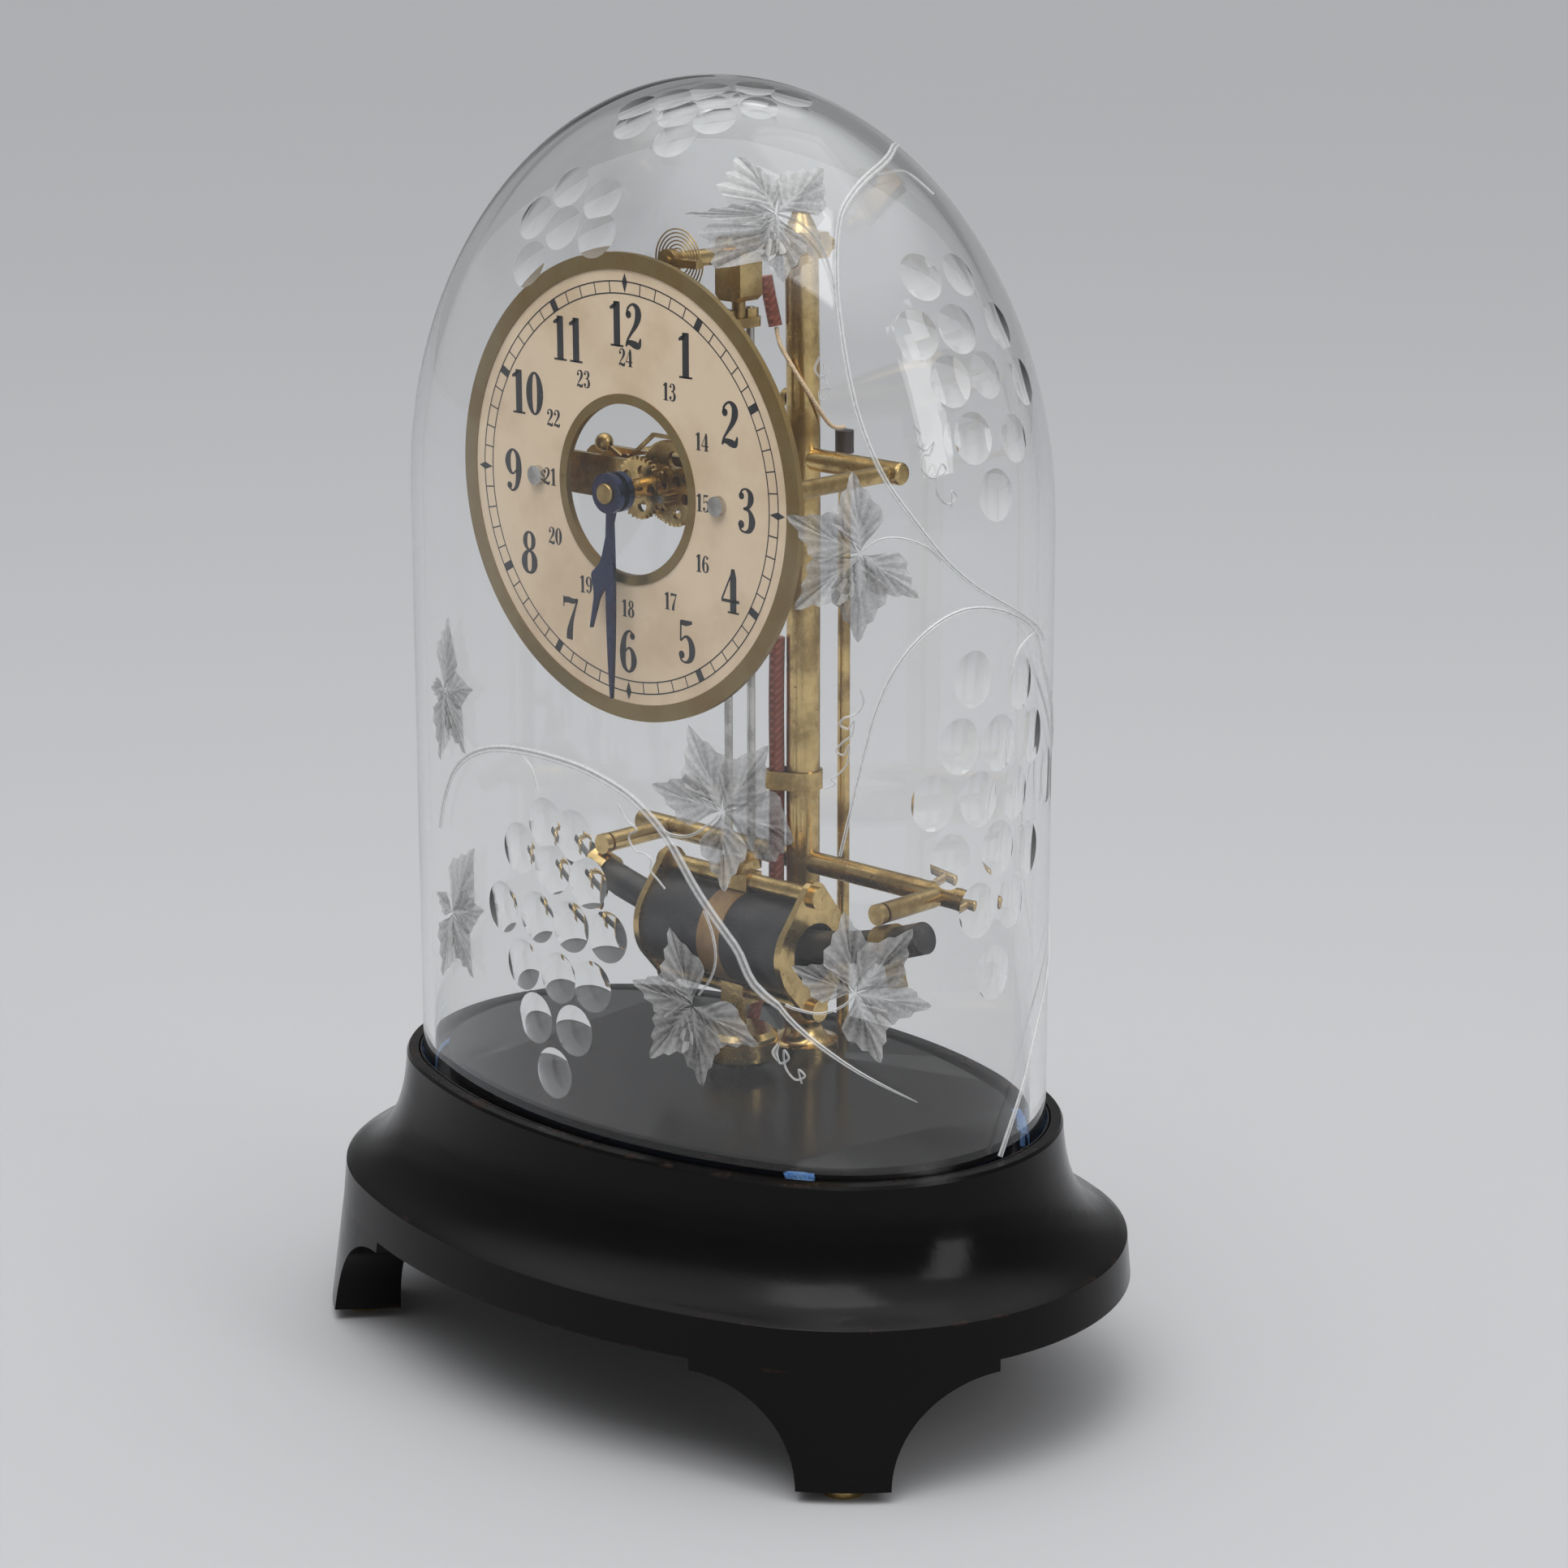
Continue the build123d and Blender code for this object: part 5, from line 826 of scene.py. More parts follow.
def oval_ring(name, section, around=220):
    """A closed ring round the oval from its section of insets and heights in millimetres."""
    turns = oval_turns(around, 0.0)
    verts = [Vector((*on_oval(turn, inset * MM)[0], z * MM)) for inset, z in section for turn in turns]
    faces = []
    for row in range(len(section)):
        faces += hoop(row * around, (row + 1) % len(section) * around, around)
    return linked(name, new_mesh(name, verts, faces=faces))


def on_glass(turn, z, proud=0.0):
    """The point of the outer glass that faces along an angle in degrees at a height in millimetres."""
    rise = max(0.0, (z * MM - GLASS_SHOULDER) / GLASS_CROWN)
    draw_in = math.sqrt(max(0.0, 1.0 - rise * rise))
    spot, out = on_oval(math.radians(turn), GLASS_INSET)
    normal = Vector((*(out * draw_in), rise * spot.dot(out) / GLASS_CROWN)).normalized()
    return Vector((*(spot * draw_in), z * MM)) + normal * proud, normal


def glass_shell(around=184, wall_rings=52, crown_rings=42):
    """The plain dome: an oval wall under a rounded crown, open below."""
    rings = [(1.0, i / wall_rings, 0.0) for i in range(wall_rings)]
    leans = [math.pi / 2 * i / crown_rings for i in range(crown_rings)]
    rings += [(math.cos(lean), 1.0, math.sin(lean)) for lean in leans]
    turns = oval_turns(around, GLASS_INSET)
    verts = []
    faces = []
    for inset in (0.0, GLASS_WALL):
        first = len(verts)
        line = [on_oval(turn, GLASS_INSET + inset)[0] for turn in turns]
        for draw_in, up_wall, up_crown in rings:
            level = GLASS_FOOT + (GLASS_SHOULDER - GLASS_FOOT) * up_wall + (GLASS_CROWN - inset) * up_crown
            verts += [Vector((*(spot * draw_in), level)) for spot in line]
        last = len(verts) - around
        side = [face for low in range(first, last, around) for face in hoop(low, low + around, around)]
        side += [(last + step, last + (step + 1) % around, len(verts)) for step in range(around)]
        verts.append(Vector((0.0, 0.0, GLASS_SHOULDER + GLASS_CROWN - inset)))
        faces += [face[::-1] for face in side] if inset else side
    faces += [face[::-1] for face in hoop(0, len(rings) * around + 1, around)]
    return new_mesh("cut_dome", verts, faces=faces)


# Pixels of the photograph, across and down, chosen along the cut vine and moved in a little at the
# edges of the glass. Those of PAST_EDGE lie on the far wall, where a stem runs round the right edge.
PAST_EDGE = ((1281, 1083), (1282, 989))
DEEP_GRAPES = (
    (640, 1045), (672, 1015), (706, 1030), (680, 1070), (724, 1088), (620, 1117), (662, 1130), (703, 1142),
    (748, 1155), (645, 1188), (688, 1205), (729, 1216), (660, 1254), (707, 1270), (683, 1322),
)
ROUND_GRAPES = (
    (1135, 341), (1130, 412), (1180, 405), (1172, 470), (1200, 540), (1228, 610), (1200, 837), (1183, 920),
    (1232, 915), (1150, 990), (1207, 985), (1172, 1062), (1230, 1045), (1205, 1122), (1224, 1198),
)
FLAT_GRAPES = (
    (1182, 338), (1215, 462), (1250, 540), (1257, 840), (1250, 975), (1266, 1045), (1245, 1110), (1230, 400),
    (1260, 470), (1272, 905), (1295, 955), (785, 133), (830, 122), (873, 112), (835, 140), (885, 122),
    (930, 108), (880, 147), (935, 132), (975, 120), (830, 172), (780, 152), (703, 230), (742, 245),
    (660, 268), (693, 280), (735, 290), (652, 325),
)
LEAVES = (
    ((1053, 1224), ((1040, 1123), (1125, 1144), (1148, 1240), (1085, 1310), (975, 1190))),
    ((854, 1239), ((825, 1142), (936, 1289), (866, 1339), (801, 1304), (779, 1208))),
    ((890, 1000), ((848, 893), (947, 918), (979, 1035), (893, 1100), (803, 966))),
    ((1060, 682), ((1050, 580), (1132, 737), (1057, 792), (979, 751), (969, 635))),
    ((956, 263), ((908, 193), (1014, 207), (965, 348), (881, 331), (843, 264))),
    ((558, 1125), ((585, 1045), (597, 1122), (584, 1205), (546, 1203), (539, 1098))),
    ((549, 850), ((553, 760), (583, 850), (574, 929), (543, 937), (532, 847))),
)
STEMS = (
    ((1130, 1358), (1040, 1310), (960, 1240), (905, 1165), (860, 1100), (820, 1030), (780, 985), (740, 958),
     (700, 940), (650, 926), (610, 922), (580, 930), (560, 950), (548, 985), (543, 1020)),
    ((1105, 178), (1100, 184), (1072, 215), (1043, 250), (1032, 290), (1031, 350), (1037, 410), (1047, 470),
     (1063, 530), (1090, 590), (1125, 640), (1165, 690), (1205, 725), (1250, 752), (1276, 771), (1286, 788)),
    ((1232, 1425), (1245, 1385), (1262, 1330), (1278, 1260), (1291.5, 1176), (1281, 1083), (1282, 989),
     (1296.5, 896), (1286, 826), (1275, 779), (1240, 755), (1200, 750), (1165, 762), (1130, 790), (1100, 830),
     (1078, 880), (1062, 940), (1048, 1000), (1035, 1055)),
)
STALKS = (
    ((640, 928), (655, 945), (663, 972)),
    ((1275, 778), (1255, 800), (1243, 840)),
    ((968, 1238), (980, 1243), (1010, 1249), (1038, 1240), (1053, 1226)),
    ((868, 1122), (878, 1150), (882, 1180), (876, 1205), (861, 1226)),
    ((812, 1020), (830, 1029), (852, 1029), (873, 1016), (886, 1004)),
    ((1160, 690), (1140, 674), (1112, 664), (1085, 665), (1064, 678)),
    ((1033, 385), (1027, 350), (1019, 320), (1005, 294), (984, 274), (958, 264)),
    ((1072, 215), (1085, 215), (1115, 212), (1150, 240)),
)
TENDRILS = (
    ((1125, 525), (1133, 535), (1130, 548), (1140, 555), (1150, 545), (1145, 560), (1137, 562), (1136, 580),
     (1150, 590), (1165, 580), (1160, 572), (1153, 590), (1155, 610), (1168, 622), (1178, 612), (1172, 606),
     (1172, 625)),
    ((1060, 850), (1064, 865), (1055, 880), (1040, 885), (1035, 893), (1045, 898), (1052, 888), (1050, 905),
     (1038, 915), (1030, 925), (1040, 930), (1046, 918), (1044, 940), (1032, 955), (1024, 960), (1030, 966),
     (1016, 972)),
    ((1010, 440), (1004, 455), (1012, 465), (1020, 458), (1014, 450), (1018, 470), (1022, 488), (1012, 494),
     (1010, 482), (1024, 478)),
    ((960, 1285), (955, 1298), (962, 1310), (972, 1304), (966, 1294), (968, 1315), (980, 1330), (992, 1326),
     (984, 1318), (988, 1335)),
    ((762, 990), (772, 1010), (785, 1022), (775, 1030), (783, 1048), (795, 1052), (803, 1060), (802, 1072),
     (812, 1085), (820, 1095)),
)
STEM_WIDTHS = ((0.3, 2.5, 1.7), (1.0, 1.5, 1.0), (2.2, 1.4, 0.9))
STALK_WIDTHS = (0.9, 0.8, 0.6)
TENDRIL_WIDTHS = (0.6, 0.6, 0.5)


class Sight:
    """Finds where the photograph shows a pixel on the plain glass."""

    def __init__(self, shell):
        corners = [corner.co for corner in shell.vertices]
        self.glass = BVHTree.FromPolygons(corners, [tuple(face.vertices) for face in shell.polygons])

    def place(self, pixel):
        """The angle in degrees along which the glass faces there, and the height in millimetres."""
        middle = PHOTO_PIXELS / 2
        aim = Vector((pixel[0] - middle, middle - pixel[1], -LENS / SENSOR * PHOTO_PIXELS)).normalized()
        aim.rotate(CAMERA_TURN)
        start = CAMERA_PLACE
        if pixel in PAST_EDGE:
            start, aim = start + 2 * start.length * aim, -aim
        spot = self.glass.ray_cast(start, aim)[0]
        rise = max(0.0, (spot.z - GLASS_SHOULDER) / GLASS_CROWN)
        return facing(spot.xy / math.sqrt(1.0 - rise * rise)), spot.z / MM

    def places(self, pixels):
        return [self.place(pixel) for pixel in pixels]


class Cutting:
    """Matt cutting that lies on the outer glass, gathered into one mesh."""

    LOW = 0.05 * MM
    HIGH = 0.45 * MM
    LOBE_HALF = 0.33
    SHOULDER = 0.42
    POINTED = 1.1
    TOOTH_OUT = 1.04
    TOOTH_IN = 0.94
    FOOT_SWELL = 0.08
    RIB_FROM = 0.02
    RIB_RUN = 0.40
    EDGE_FROM = 0.10
    EDGE_RUN = 0.90
    # Painted light and shade of a leaf: midrib, ridges and lobe edges painted lighter; grooves, the leaf's
    # foot and one side of each lobe painted darker.
    RIB_SHADE = 0.55
    FOOT_SHADE = 0.24
    EDGE_SHADE = 0.36
    SIDE_SHADE = 0.13
    RIDGE_SHADE = 0.15
    GROOVE_SHADE = -0.12
    DIMMER = 0.20
    SWELL_BY = 0.15
    TAPER_FROM = 0.3
    ACROSS = range(-4, 5)
    # Across a stem: side, rise and painted shade; the ridge tops are painted light and the groove between
    # them is painted dark.
    RIDGE = ((-1.0, 0.05, 0.70), (-0.55, 0.40, 1.0), (0.0, 0.10, 0.25), (0.55, 0.40, 1.0), (1.0, 0.05, 0.70))

    def __init__(self):
        self.verts = []
        self.faces = []
        self.shades = []

    def grid(self, rows):
        """Join rows of points with their painted shade values; each row runs from left to right and the rows
        run outward.
        """
        first = len(self.verts)
        wide = len(rows[0])
        for row in rows:
            self.verts += [spot for spot, _ in row]
            self.shades += [shade for _, shade in row]
        for row in range(len(rows) - 1):
            for step in range(wide - 1):
                a = first + row * wide + step
                self.faces.append((a, a + 1, a + wide + 1, a + wide))

    def scale_at(self, turn, z):
        """Millimetres of glass to a degree and to a millimetre of height."""
        across = on_glass(turn + 0.5, z)[0] - on_glass(turn - 0.5, z)[0]
        upward = on_glass(turn, z + 0.5)[0] - on_glass(turn, z - 0.5)[0]
        return across.length / MM, upward.length / MM

    def swell(self, share):
        """How full a lobe is at a share of its length: it fills to its shoulder and runs to a point."""
        if share < self.SHOULDER:
            fill = math.sin(math.pi / 2 * share / self.SHOULDER)
            return self.FOOT_SWELL + (1.0 - self.FOOT_SWELL) * fill
        return ((1.0 - share) / (1.0 - self.SHOULDER)) ** self.POINTED

    def leaf(self, middle, tips, flutes=5):
        """Pointed lobes with a midrib each, and flutes that run forward from it to a toothed edge."""
        turn, z = middle
        across, upward = self.scale_at(turn, z)
        for order, tip in enumerate(tips):
            reach = Vector(((tip[0] - turn) * across, (tip[1] - z) * upward))
            side = Vector((reach.y, -reach.x)) * self.LOBE_HALF
            bright = 1.0 - self.DIMMER * (order % 3)
            rows = []
            for step in range(2 * flutes + 1):
                share = step / (2 * flutes)
                ridge = step % 2
                rib = reach * (self.RIB_FROM + self.RIB_RUN * share)
                swell = self.swell(share)
                tooth = 1.0 if share == 1.0 else (self.TOOTH_OUT if ridge else self.TOOTH_IN)
                line = []
                for place in self.ACROSS:
                    out = abs(place) / max(self.ACROSS)
                    sign = math.copysign(1.0, place)
                    edge = reach * (self.EDGE_FROM + self.EDGE_RUN * share) + side * swell * sign
                    spot = rib + (edge - rib) * out * tooth
                    # Painted light and shade of the flutes: lighter toward the lobe's edge and on its ridges,
                    # darker on one side and in its grooves; every second and third lobe is dimmer.
                    shade = self.FOOT_SHADE + self.EDGE_SHADE * out - self.SIDE_SHADE * sign
                    shade = bright * (shade + (self.RIDGE_SHADE if ridge else self.GROOVE_SHADE))
                    proud = self.HIGH * (0.5 + 0.5 * out) if ridge else self.LOW
                    if place == 0:
                        shade, proud = self.RIB_SHADE, self.HIGH
                    line.append((on_glass(turn + spot.x / across, z + spot.y / upward, proud)[0], shade))
                rows.append(line)
            self.grid(rows)

    def stem(self, points, widths, steps=6):
        """A grooved ridge along points of angle and height, with its widths at its start, swell and end,
        painted light on its ridge tops and painted shade in its groove.
        """
        line = smooth_line(points, steps)
        across, upward = self.scale_at(*line[len(line) // 2])
        start, swell, end = widths
        rows = [[] for _ in self.RIDGE]
        for index, (before, here, after) in enumerate(zip([line[0], *line], line, [*line[1:], line[-1]])):
            along = Vector(((after[0] - before[0]) * across, (after[1] - before[1]) * upward)).normalized()
            share = index / (len(line) - 1)
            near = min(1.0, share / self.SWELL_BY)
            far = max(0.0, share - self.TAPER_FROM) / (1.0 - self.TAPER_FROM)
            wide = start + (swell - start) * near + (end - swell) * far
            away = Vector((-along.y, along.x)) * wide / 2
            for row, (sign, rise, shade) in zip(rows, self.RIDGE):
                spot = (here[0] + sign * away.x / across, here[1] + sign * away.y / upward)
                row.append((on_glass(*spot, rise * MM)[0], shade))
        self.grid(rows)

    def laid(self, name, finish):
        """The finished piece on the dome."""
        piece = mesh_piece(name, self.verts, self.faces, finish, GLASS_BODY)
        piece.data.attributes.new("shade", "FLOAT", "POINT").data.foreach_set("value", self.shades)
        return piece


UPPER_SLEEVE_ROUTE = ((-7.0, 23.2, 288), (-6.2, 23.9, 281.5), (-4.9, 24.5, 275))
UPPER_LEAD_ROUTE = (
    (-4.6, 24.4, 274.6), (-3.4, 23.6, 271.5), (-0.6, 23.4, 268), (2.8, 24, 263.5), (5.2, 26.6, 258),
    (6, 30.4, 252.5), (5.2, 35, 248.5), (4.2, 39.4, 247.3), (2.4, 43.4, 247),
)
LOWER_LEAD_ROUTE = ((-1.4, 34.9, 230.9), (-1.8, 37.6, 231.6), (-0.4, 40, 231.4), (0.9, 41.8, 230.7))
LOWER_SLEEVE_ROUTE = (
    (-10.4, 20.6, 77.4), (-10, 20.8, 86), (-7.6, 22.6, 97), (-5.2, 24.8, 109), (-4.9, 24.6, 128),
    (-4.9, 24.9, 153), (-5, 24.6, 178), (-4.8, 24.9, 192),
)

SKY_STEPS = ((0.0, 0.22), (0.16, 0.22), (0.22, 0.15), (0.60, 0.17), (0.80, 0.85), (1.0, 1.0))
SKY_TINT = (0.97, 0.985, 1.0)
SKY_STRENGTH = 1.6
SOFTBOXES = (
    ("top_softbox", (0.10, 0.25, 2.2), 1.2, 1.2, 3.0),
    ("front_softbox", (0.30, -0.65, 1.70), 1.0, 1.0, 10.0),
    ("right_softbox", (2.2, 0.2, 1.2), 0.7, 1.5, 11.0),
)


class CLOCK_OT_stage(bpy.types.Operator):
    """Set the camera, the pale floor and the soft lights"""

    bl_idname = "clock.stage"
    bl_label = "Stage"

    FLOOR_RADIUS = 9.0
    FLOOR_SIDES = 128
    FLOOR_DIM = 0.97
    LIT_POINT = Vector((0.0, 0.0, 0.17))

    def floor(self):
        """A wide pale floor under the clock."""
        turns = [2 * math.pi * side / self.FLOOR_SIDES for side in range(self.FLOOR_SIDES)]
        reach = self.FLOOR_RADIUS
        rim = [Vector((reach * math.cos(t), reach * math.sin(t), CAD_LOW.z)) for t in turns]
        floor = linked("studio_floor", new_mesh("studio_floor", rim, faces=[tuple(range(self.FLOOR_SIDES))]))
        finish = Finish("studio_paper", Roughness=0.9)
        pale = tinted("floor")
        dim = tuple(self.FLOOR_DIM * part for part in pale)
        finish.give(Base_Color=finish.mixed(finish.cloud(1.3, 2.0), pale, dim))
        floor.data.materials.append(finish.material)

    def sky(self, scene):
        """Soft light from above, with a dim band over a pale horizon."""
        world = scene.world or bpy.data.worlds.new("studio_world")
        scene.world = world
        world.use_nodes = True
        nodes = Nodes(world.node_tree)
        place = nodes.add("ShaderNodeTexCoord").outputs["Generated"]
        level = nodes.add("ShaderNodeSeparateXYZ", Vector=place).outputs["Z"]
        ramp = nodes.add("ShaderNodeValToRGB", Fac=level)
        steps = ramp.color_ramp.elements
        for at, _ in SKY_STEPS[1:-1]:
            steps.new(at)
        for element, (at, shade) in zip(steps, SKY_STEPS):
            element.position = at
            element.color = (*(shade * part for part in SKY_TINT), 1.0)
        background = world.node_tree.nodes["Background"]
        world.node_tree.links.new(ramp.outputs["Color"], background.inputs["Color"])
        background.inputs["Strength"].default_value = SKY_STRENGTH

    def softbox(self, name, place, wide, tall, power):
        lamp = bpy.data.lights.new(name, "AREA")
        lamp.shape = "RECTANGLE"
        lamp.size = wide
        lamp.size_y = tall
        lamp.energy = power
        box = linked(name, lamp)
        box.location = place
        box.rotation_euler = (self.LIT_POINT - Vector(place)).to_track_quat("-Z", "Y").to_euler()

    def execute(self, context):
        scene = context.scene
        scene.view_settings.view_transform = "Standard"
        lens = bpy.data.cameras.new("photo_camera")
        lens.sensor_width = SENSOR
        lens.lens = LENS
        lens.clip_start = 0.01
        camera = linked("photo_camera", lens)
        camera.location = CAMERA_PLACE
        camera.rotation_euler = CAMERA_TURN
        scene.camera = camera
        self.floor()
        for box in SOFTBOXES:
            self.softbox(*box)
        self.sky(scene)
        return {"FINISHED"}


class CLOCK_OT_leads(bpy.types.Operator):
    """Lay the covered leads and their sleeves"""

    bl_idname = "clock.leads"
    bl_label = "Leads and sleeves"

    def execute(self, context):
        size = sizes()
        cotton = finish_of("lead_cotton")
        braid = finish_of("sleeve_cloth")
        upper = lead_piece("upper_lead_cover", UPPER_LEAD_ROUTE, size.upper_lead, cotton)
        lower = lead_piece("lower_lead_cover", LOWER_LEAD_ROUTE, size.upper_lead, cotton)
        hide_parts("lead_wires")
        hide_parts("lead_wires")
        short = lead_piece("upper_sleeve_cover", UPPER_SLEEVE_ROUTE, size.upper_sleeve, braid)
        tall = lead_piece("lower_sleeve_cover", LOWER_SLEEVE_ROUTE, size.lower_sleeve, braid)
        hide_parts("lead_sleeves")
        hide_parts("lead_sleeves")
        return {"FINISHED"}


class CLOCK_OT_finishes(bpy.types.Operator):
    """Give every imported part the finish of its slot"""

    bl_idname = "clock.finishes"
    bl_label = "Finishes"

    def execute(self, context):
        slots = {part["node"]: part["material_slot"] for part in frame["record"]["subparts"]}
        for node, part in frame["nodes"].items():
            finish = finish_of(slots[node])
            if not part.material_slots:
                part.data.materials.append(finish)
            for place in part.material_slots:
                place.material = finish
        return {"FINISHED"}


class CLOCK_OT_dial_print(bpy.types.Operator):
    """Print the figures and the minute track on the dial paper"""

    bl_idname = "clock.dial_print"
    bl_label = "Dial print"

    SMALL_RADII = {3: 0.875, 9: 0.92, 12: 1.095}
    DIAMOND_REACH = 2.5 * MM
    DIAMOND_HALF = 0.95 * MM
    DIAMOND_INSET = 0.35 * MM
    DIAMOND_WAIST = 0.2 * MM
    BLOCK_WIDE = 2.1 * MM

    def diamond(self, sheet, quarter):
        """A pointed mark across the track at a quarter of the dial."""
        out = Vector(clockwise(quarter, 1.0)) - Vector((DIAL_MIDDLE.x, DIAL_MIDDLE.z))
        side = Vector((-out.y, out.x)) * self.DIAMOND_HALF
        middle = Vector(clockwise(quarter, sizes().track_outer - self.DIAMOND_INSET))
        reach = out * self.DIAMOND_REACH
        waist = middle + out * self.DIAMOND_WAIST
        sheet.outline([middle + reach, waist + side, middle - reach, waist - side])

    def execute(self, context):
        size = sizes()
        ink = own_finish(dial_ink)
        level = PAPER_LOW.y - size.ink_rise
        sheet = Print(level)
        for hour in range(1, 13):
            set_figures(sheet, str(hour), *clockwise(hour, size.figure_radius), size.figure_height)
            small_radius = size.small_radius * self.SMALL_RADII.get(hour, 1.0)
            set_figures(sheet, str(hour + 12), *clockwise(hour, small_radius), size.small_height)
        sheet.circle(size.track_inner, size.line_width)
        sheet.circle(size.track_outer, size.line_width)
        for quarter in (12, 3, 6, 9):
            self.diamond(sheet, quarter)
        mesh_piece("dial_figures", sheet.verts, sheet.faces, ink)
        tree = ring_of_marks_tree()
        shared = {
            "Count": 60, "Radius": (size.track_inner + size.track_outer) / 2,
            "Length": size.track_outer - size.track_inner,
            "Middle": Vector((DIAL_MIDDLE.x, level, DIAL_MIDDLE.z)), "Finish": ink,
        }
        thin = {**shared, "Every": 1, "Skip": 5, "Width": size.line_width}
        grown("minute_bars", tree, thin)
        thick = {**shared, "Every": 5, "Skip": 15, "Width": self.BLOCK_WIDE}
        grown("five_minute_blocks", tree, thick)
        return {"FINISHED"}


class CLOCK_OT_seal(bpy.types.Operator):
    """Lay the pile strip that the dome stands on"""

    bl_idname = "clock.seal"
    bl_label = "Dome seal"

    SIDES = 240
    FIBRES = 2600
    PILE = 0.42 * MM
    TUFTS = (("front_tuft", -62.2, 3.2), ("right_tuft", 40.0, 9.0))
    TUFT_STEPS = 6
    TUFT_INSET = 27.9 * MM
    TUFT_WIDE = 1.3 * MM
    TUFT_RISE = 3.8 * MM
    TUFT_FIBRES = 420
    TUFT_PILE = 1.7 * MM

    def path(self, name, turns, inset, closed):
        """Edges along the oval through the given facing angles."""
        count = len(turns)
        edges = [(side, (side + 1) % count) for side in range(count if closed else count - 1)]
        return new_mesh(name, [Vector((*on_oval(turn, inset)[0], 0.0)) for turn in turns], edges)

    def execute(self, context):
        size = sizes()
        half = (SEAL_HIGH - SEAL_LOW) / 2
        inset = OVAL_HALF.x - half.x + size.seal_wide / 2
        path = self.path("seal_path", oval_turns(self.SIDES, inset), inset, True)
        tree = pile_ring_tree()
        strip = {
            "Level": (SEAL_HIGH + SEAL_LOW) / 2, "Wide": size.seal_wide, "Thick": 2 * half.z,
            "Tufts": self.FIBRES, "Pile": self.PILE, "Finish": finish_of("seal_strip"),
        }
        seal = grown("seal_pile", tree, strip, start=path)
        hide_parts("seal_ring")
        level = Vector((0.0, 0.0, SEAL_LOW.z + self.TUFT_RISE / 2))
        for name, middle, half_turn in self.TUFTS:
            shares = [step / self.TUFT_STEPS - 1.0 for step in range(2 * self.TUFT_STEPS + 1)]
            turns = [math.radians(middle + half_turn * share) for share in shares]
            tuft = {
                **strip, "Level": level, "Wide": self.TUFT_WIDE, "Thick": self.TUFT_RISE,
                "Tufts": self.TUFT_FIBRES, "Pile": self.TUFT_PILE,
            }
            grown(name, tree, tuft, start=self.path(name, turns, self.TUFT_INSET, False))
        return {"FINISHED"}


class CLOCK_OT_rating_ribs(bpy.types.Operator):
    """Raise the leaning ribs on the rating nut's edge"""

    bl_idname = "clock.rating_ribs"
    bl_label = "Rating nut ribs"

    RIBS = 72
    SUNK = 0.12 * MM
    RIB_WIDE = 0.62 * MM
    RIB_DEEP = 0.5 * MM
    RIB_SHARE = 0.42
    LEAN = math.radians(24)

    def execute(self, context):
        low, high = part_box("rating_nut")
        ribs = {
            "Count": self.RIBS, "Radius": (high.x - low.x) / 2 - self.SUNK, "Lean": self.LEAN,
            "Rib": Vector((self.RIB_WIDE, self.RIB_DEEP, (high.z - low.z) * self.RIB_SHARE)),
            "Middle": (low + high) / 2, "Finish": finish_of("brass"),
        }
        grown("rating_ribs", leaning_ribs_tree(), ribs, "rating_weight")
        return {"FINISHED"}


class CLOCK_OT_cut_glass(bpy.types.Operator):
    """Cut the grapes into the dome and grind the vine on it"""

    bl_idname = "clock.cut_glass"
    bl_label = "Cut glass"

    TALLEST = 9.0 * MM
    MILK = 0.45
    FOOT_MILK = 0.55
    SHARP = 6

    def cloud_hollows(self, mesh, cuts):
        """Mark the faces of the ground hollows with a painted highlight, more strongly toward the foot of
        each.
        """
        finder = KDTree(len(cuts))
        for index, (spot, _, _) in enumerate(cuts):
            finder.insert(on_glass(*spot)[0], index)
        finder.balance()
        cut = mesh.attributes.new("cut", "FLOAT", "FACE")
        for face in mesh.polygons:
            spot, index, _ = finder.find(face.center)
            place, wheel, depth = cuts[index]
            centre = spot + on_glass(*place)[1] * (wheel - depth)
            if (face.center - centre).length < wheel:
                down = (spot.z - face.center.z) / self.TALLEST
                cut.data[face.index].value = self.MILK + self.FOOT_MILK * down

    def grape_places(self, cuts):
        """Points on the glass that carry their direction, their wheel and its depth."""
        spots = [on_glass(*spot) for spot, _, _ in cuts]
        marks = new_mesh("grape_places", [spot for spot, _ in spots])
        for name, kind, field, numbers in (
            ("out", "FLOAT_VECTOR", "vector", [part for _, out in spots for part in out]),
            ("wheel", "FLOAT", "value", [wheel for _, wheel, _ in cuts]),
            ("depth", "FLOAT", "value", [depth for _, _, depth in cuts]),
        ):
            marks.attributes.new(name, kind, "POINT").data.foreach_set(field, numbers)
        return linked("grape_places", marks)

    def execute(self, context):
        size = sizes()
        shell = glass_shell()
        sight = Sight(shell)
        cuts = []
        for grapes, wheel, depth in (
            (DEEP_GRAPES, size.grape_wheel, size.grape_depth),
            (ROUND_GRAPES, size.round_wheel, size.round_depth),
            (FLAT_GRAPES, size.flat_wheel, size.flat_depth),
        ):
            cuts += [(spot, wheel, depth) for spot in sight.places(grapes)]
        places = self.grape_places(cuts)
        values = {"Places": places, "Finish": finish_of("clear_glass")}
        dome = grown("cut_dome", hollowed_tree(), values, GLASS_BODY, shell)
        bpy.data.objects.remove(places)
        self.cloud_hollows(dome.data, cuts)
        rounded(dome.data, self.SHARP)
        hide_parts("dome")
        leaves = Cutting()
        for middle, tips in LEAVES:
            leaves.leaf(sight.place(middle), sight.places(tips))
        leaves.laid("vine_leaves", own_finish(leaf_cutting))
        stems = Cutting()
        ridges = list(zip(STEMS, STEM_WIDTHS))
        ridges += [(stalk, STALK_WIDTHS) for stalk in STALKS]
        ridges += [(tendril, TENDRIL_WIDTHS) for tendril in TENDRILS]
        for pixels, widths in ridges:
            stems.stem(sight.places(pixels), widths)
        stems.laid("vine_stems", own_finish(stem_cutting))
        return {"FINISHED"}


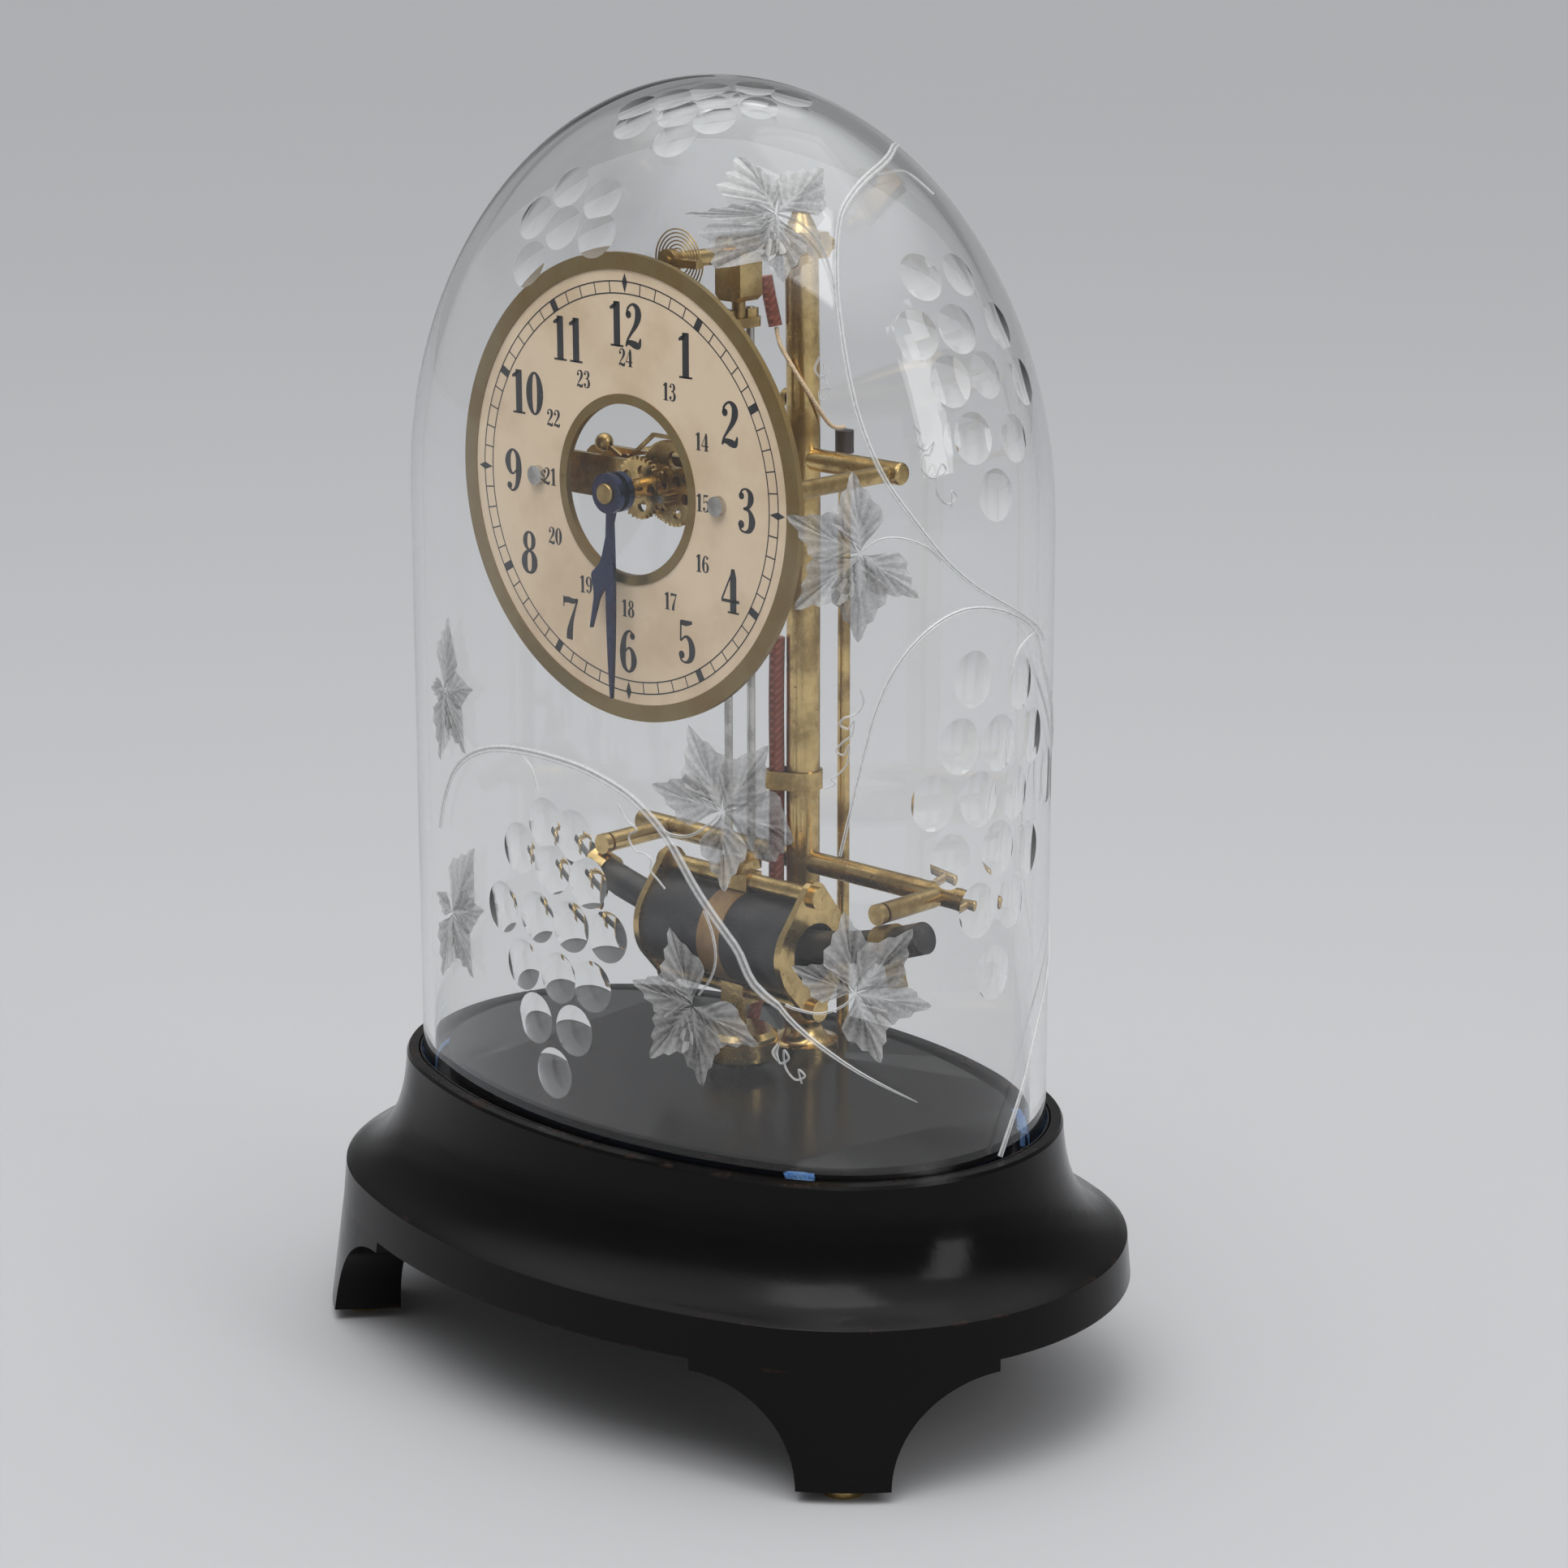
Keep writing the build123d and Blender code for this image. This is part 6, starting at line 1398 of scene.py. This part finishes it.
class CLOCK_OT_base_moulding(bpy.types.Operator):
    """Turn the base's hollow moulding"""

    bl_idname = "clock.base_moulding"
    bl_label = "Base moulding"

    TAKEN = ((21.0, 20.0), (-6.0, 20.0), (-6.0, 82.0), (21.0, 82.0))
    GIVEN = (
        (20.6, 33.005), (-1.0, 33.005), (0.0, 44.0), (0.25, 44.2), (2.5, 45.2), (5.0, 46.5), (7.4, 48.2),
        (9.8, 50.5), (12.0, 53.4), (13.9, 57.0), (15.3, 61.0), (16.3, 65.2), (16.9, 69.3), (17.25, 72.6),
        (17.35, 74.5), (17.9, 75.32), (20.6, 75.32),
    )
    SHARP = 20

    def execute(self, context):
        wood = frame["nodes"]["base_plinth"].data.copy()
        merged = bmesh.new()
        merged.from_mesh(wood)
        bmesh.ops.remove_doubles(merged, verts=merged.verts, dist=1e-6)
        merged.to_mesh(wood)
        merged.free()
        rings = oval_ring("old_moulding", self.TAKEN), oval_ring("new_moulding", self.GIVEN)
        values = {"Taken": rings[0], "Given": rings[1], "Finish": finish_of("ebonised_wood")}
        base = grown("turned_base", turned_tree(), values, start=wood)
        for ring in rings:
            bpy.data.objects.remove(ring)
        rounded(base.data, self.SHARP)
        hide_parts("base_plinth")
        return {"FINISHED"}


class CLOCK_PT_dressing(bpy.types.Panel):
    """The steps of the clock's dressing, with their colours and sizes"""

    bl_idname = "CLOCK_PT_dressing"
    bl_label = "Clock dressing"
    bl_space_type = "VIEW_3D"
    bl_region_type = "UI"
    bl_category = "Clock"

    def draw(self, context):
        for step in STEPS:
            self.layout.operator(step.bl_idname)
        for group in (context.scene.clock_colours, context.scene.clock_sizes):
            shelf = self.layout.box()
            for name in group.__annotations__:
                shelf.prop(group, name)


STEPS = (
    CLOCK_OT_stage, CLOCK_OT_finishes, CLOCK_OT_leads, CLOCK_OT_seal, CLOCK_OT_dial_print,
    CLOCK_OT_rating_ribs, CLOCK_OT_cut_glass, CLOCK_OT_base_moulding,
)
CLASSES = (ClockColours, ClockSizes, *STEPS, CLOCK_PT_dressing)


def register():
    for kind in CLASSES:
        bpy.utils.register_class(kind)
    bpy.types.Scene.clock_colours = bpy.props.PointerProperty(type=ClockColours)
    bpy.types.Scene.clock_sizes = bpy.props.PointerProperty(type=ClockSizes)


def unregister():
    del bpy.types.Scene.clock_sizes
    del bpy.types.Scene.clock_colours
    for kind in reversed(CLASSES):
        bpy.utils.unregister_class(kind)


def main():
    register()
    bpy.ops.clock.stage()
    bpy.ops.clock.finishes()
    bpy.ops.clock.leads()
    bpy.ops.clock.seal()
    bpy.ops.clock.dial_print()
    bpy.ops.clock.rating_ribs()
    bpy.ops.clock.cut_glass()
    bpy.ops.clock.base_moulding()


if __name__ == "__main__":
    main()
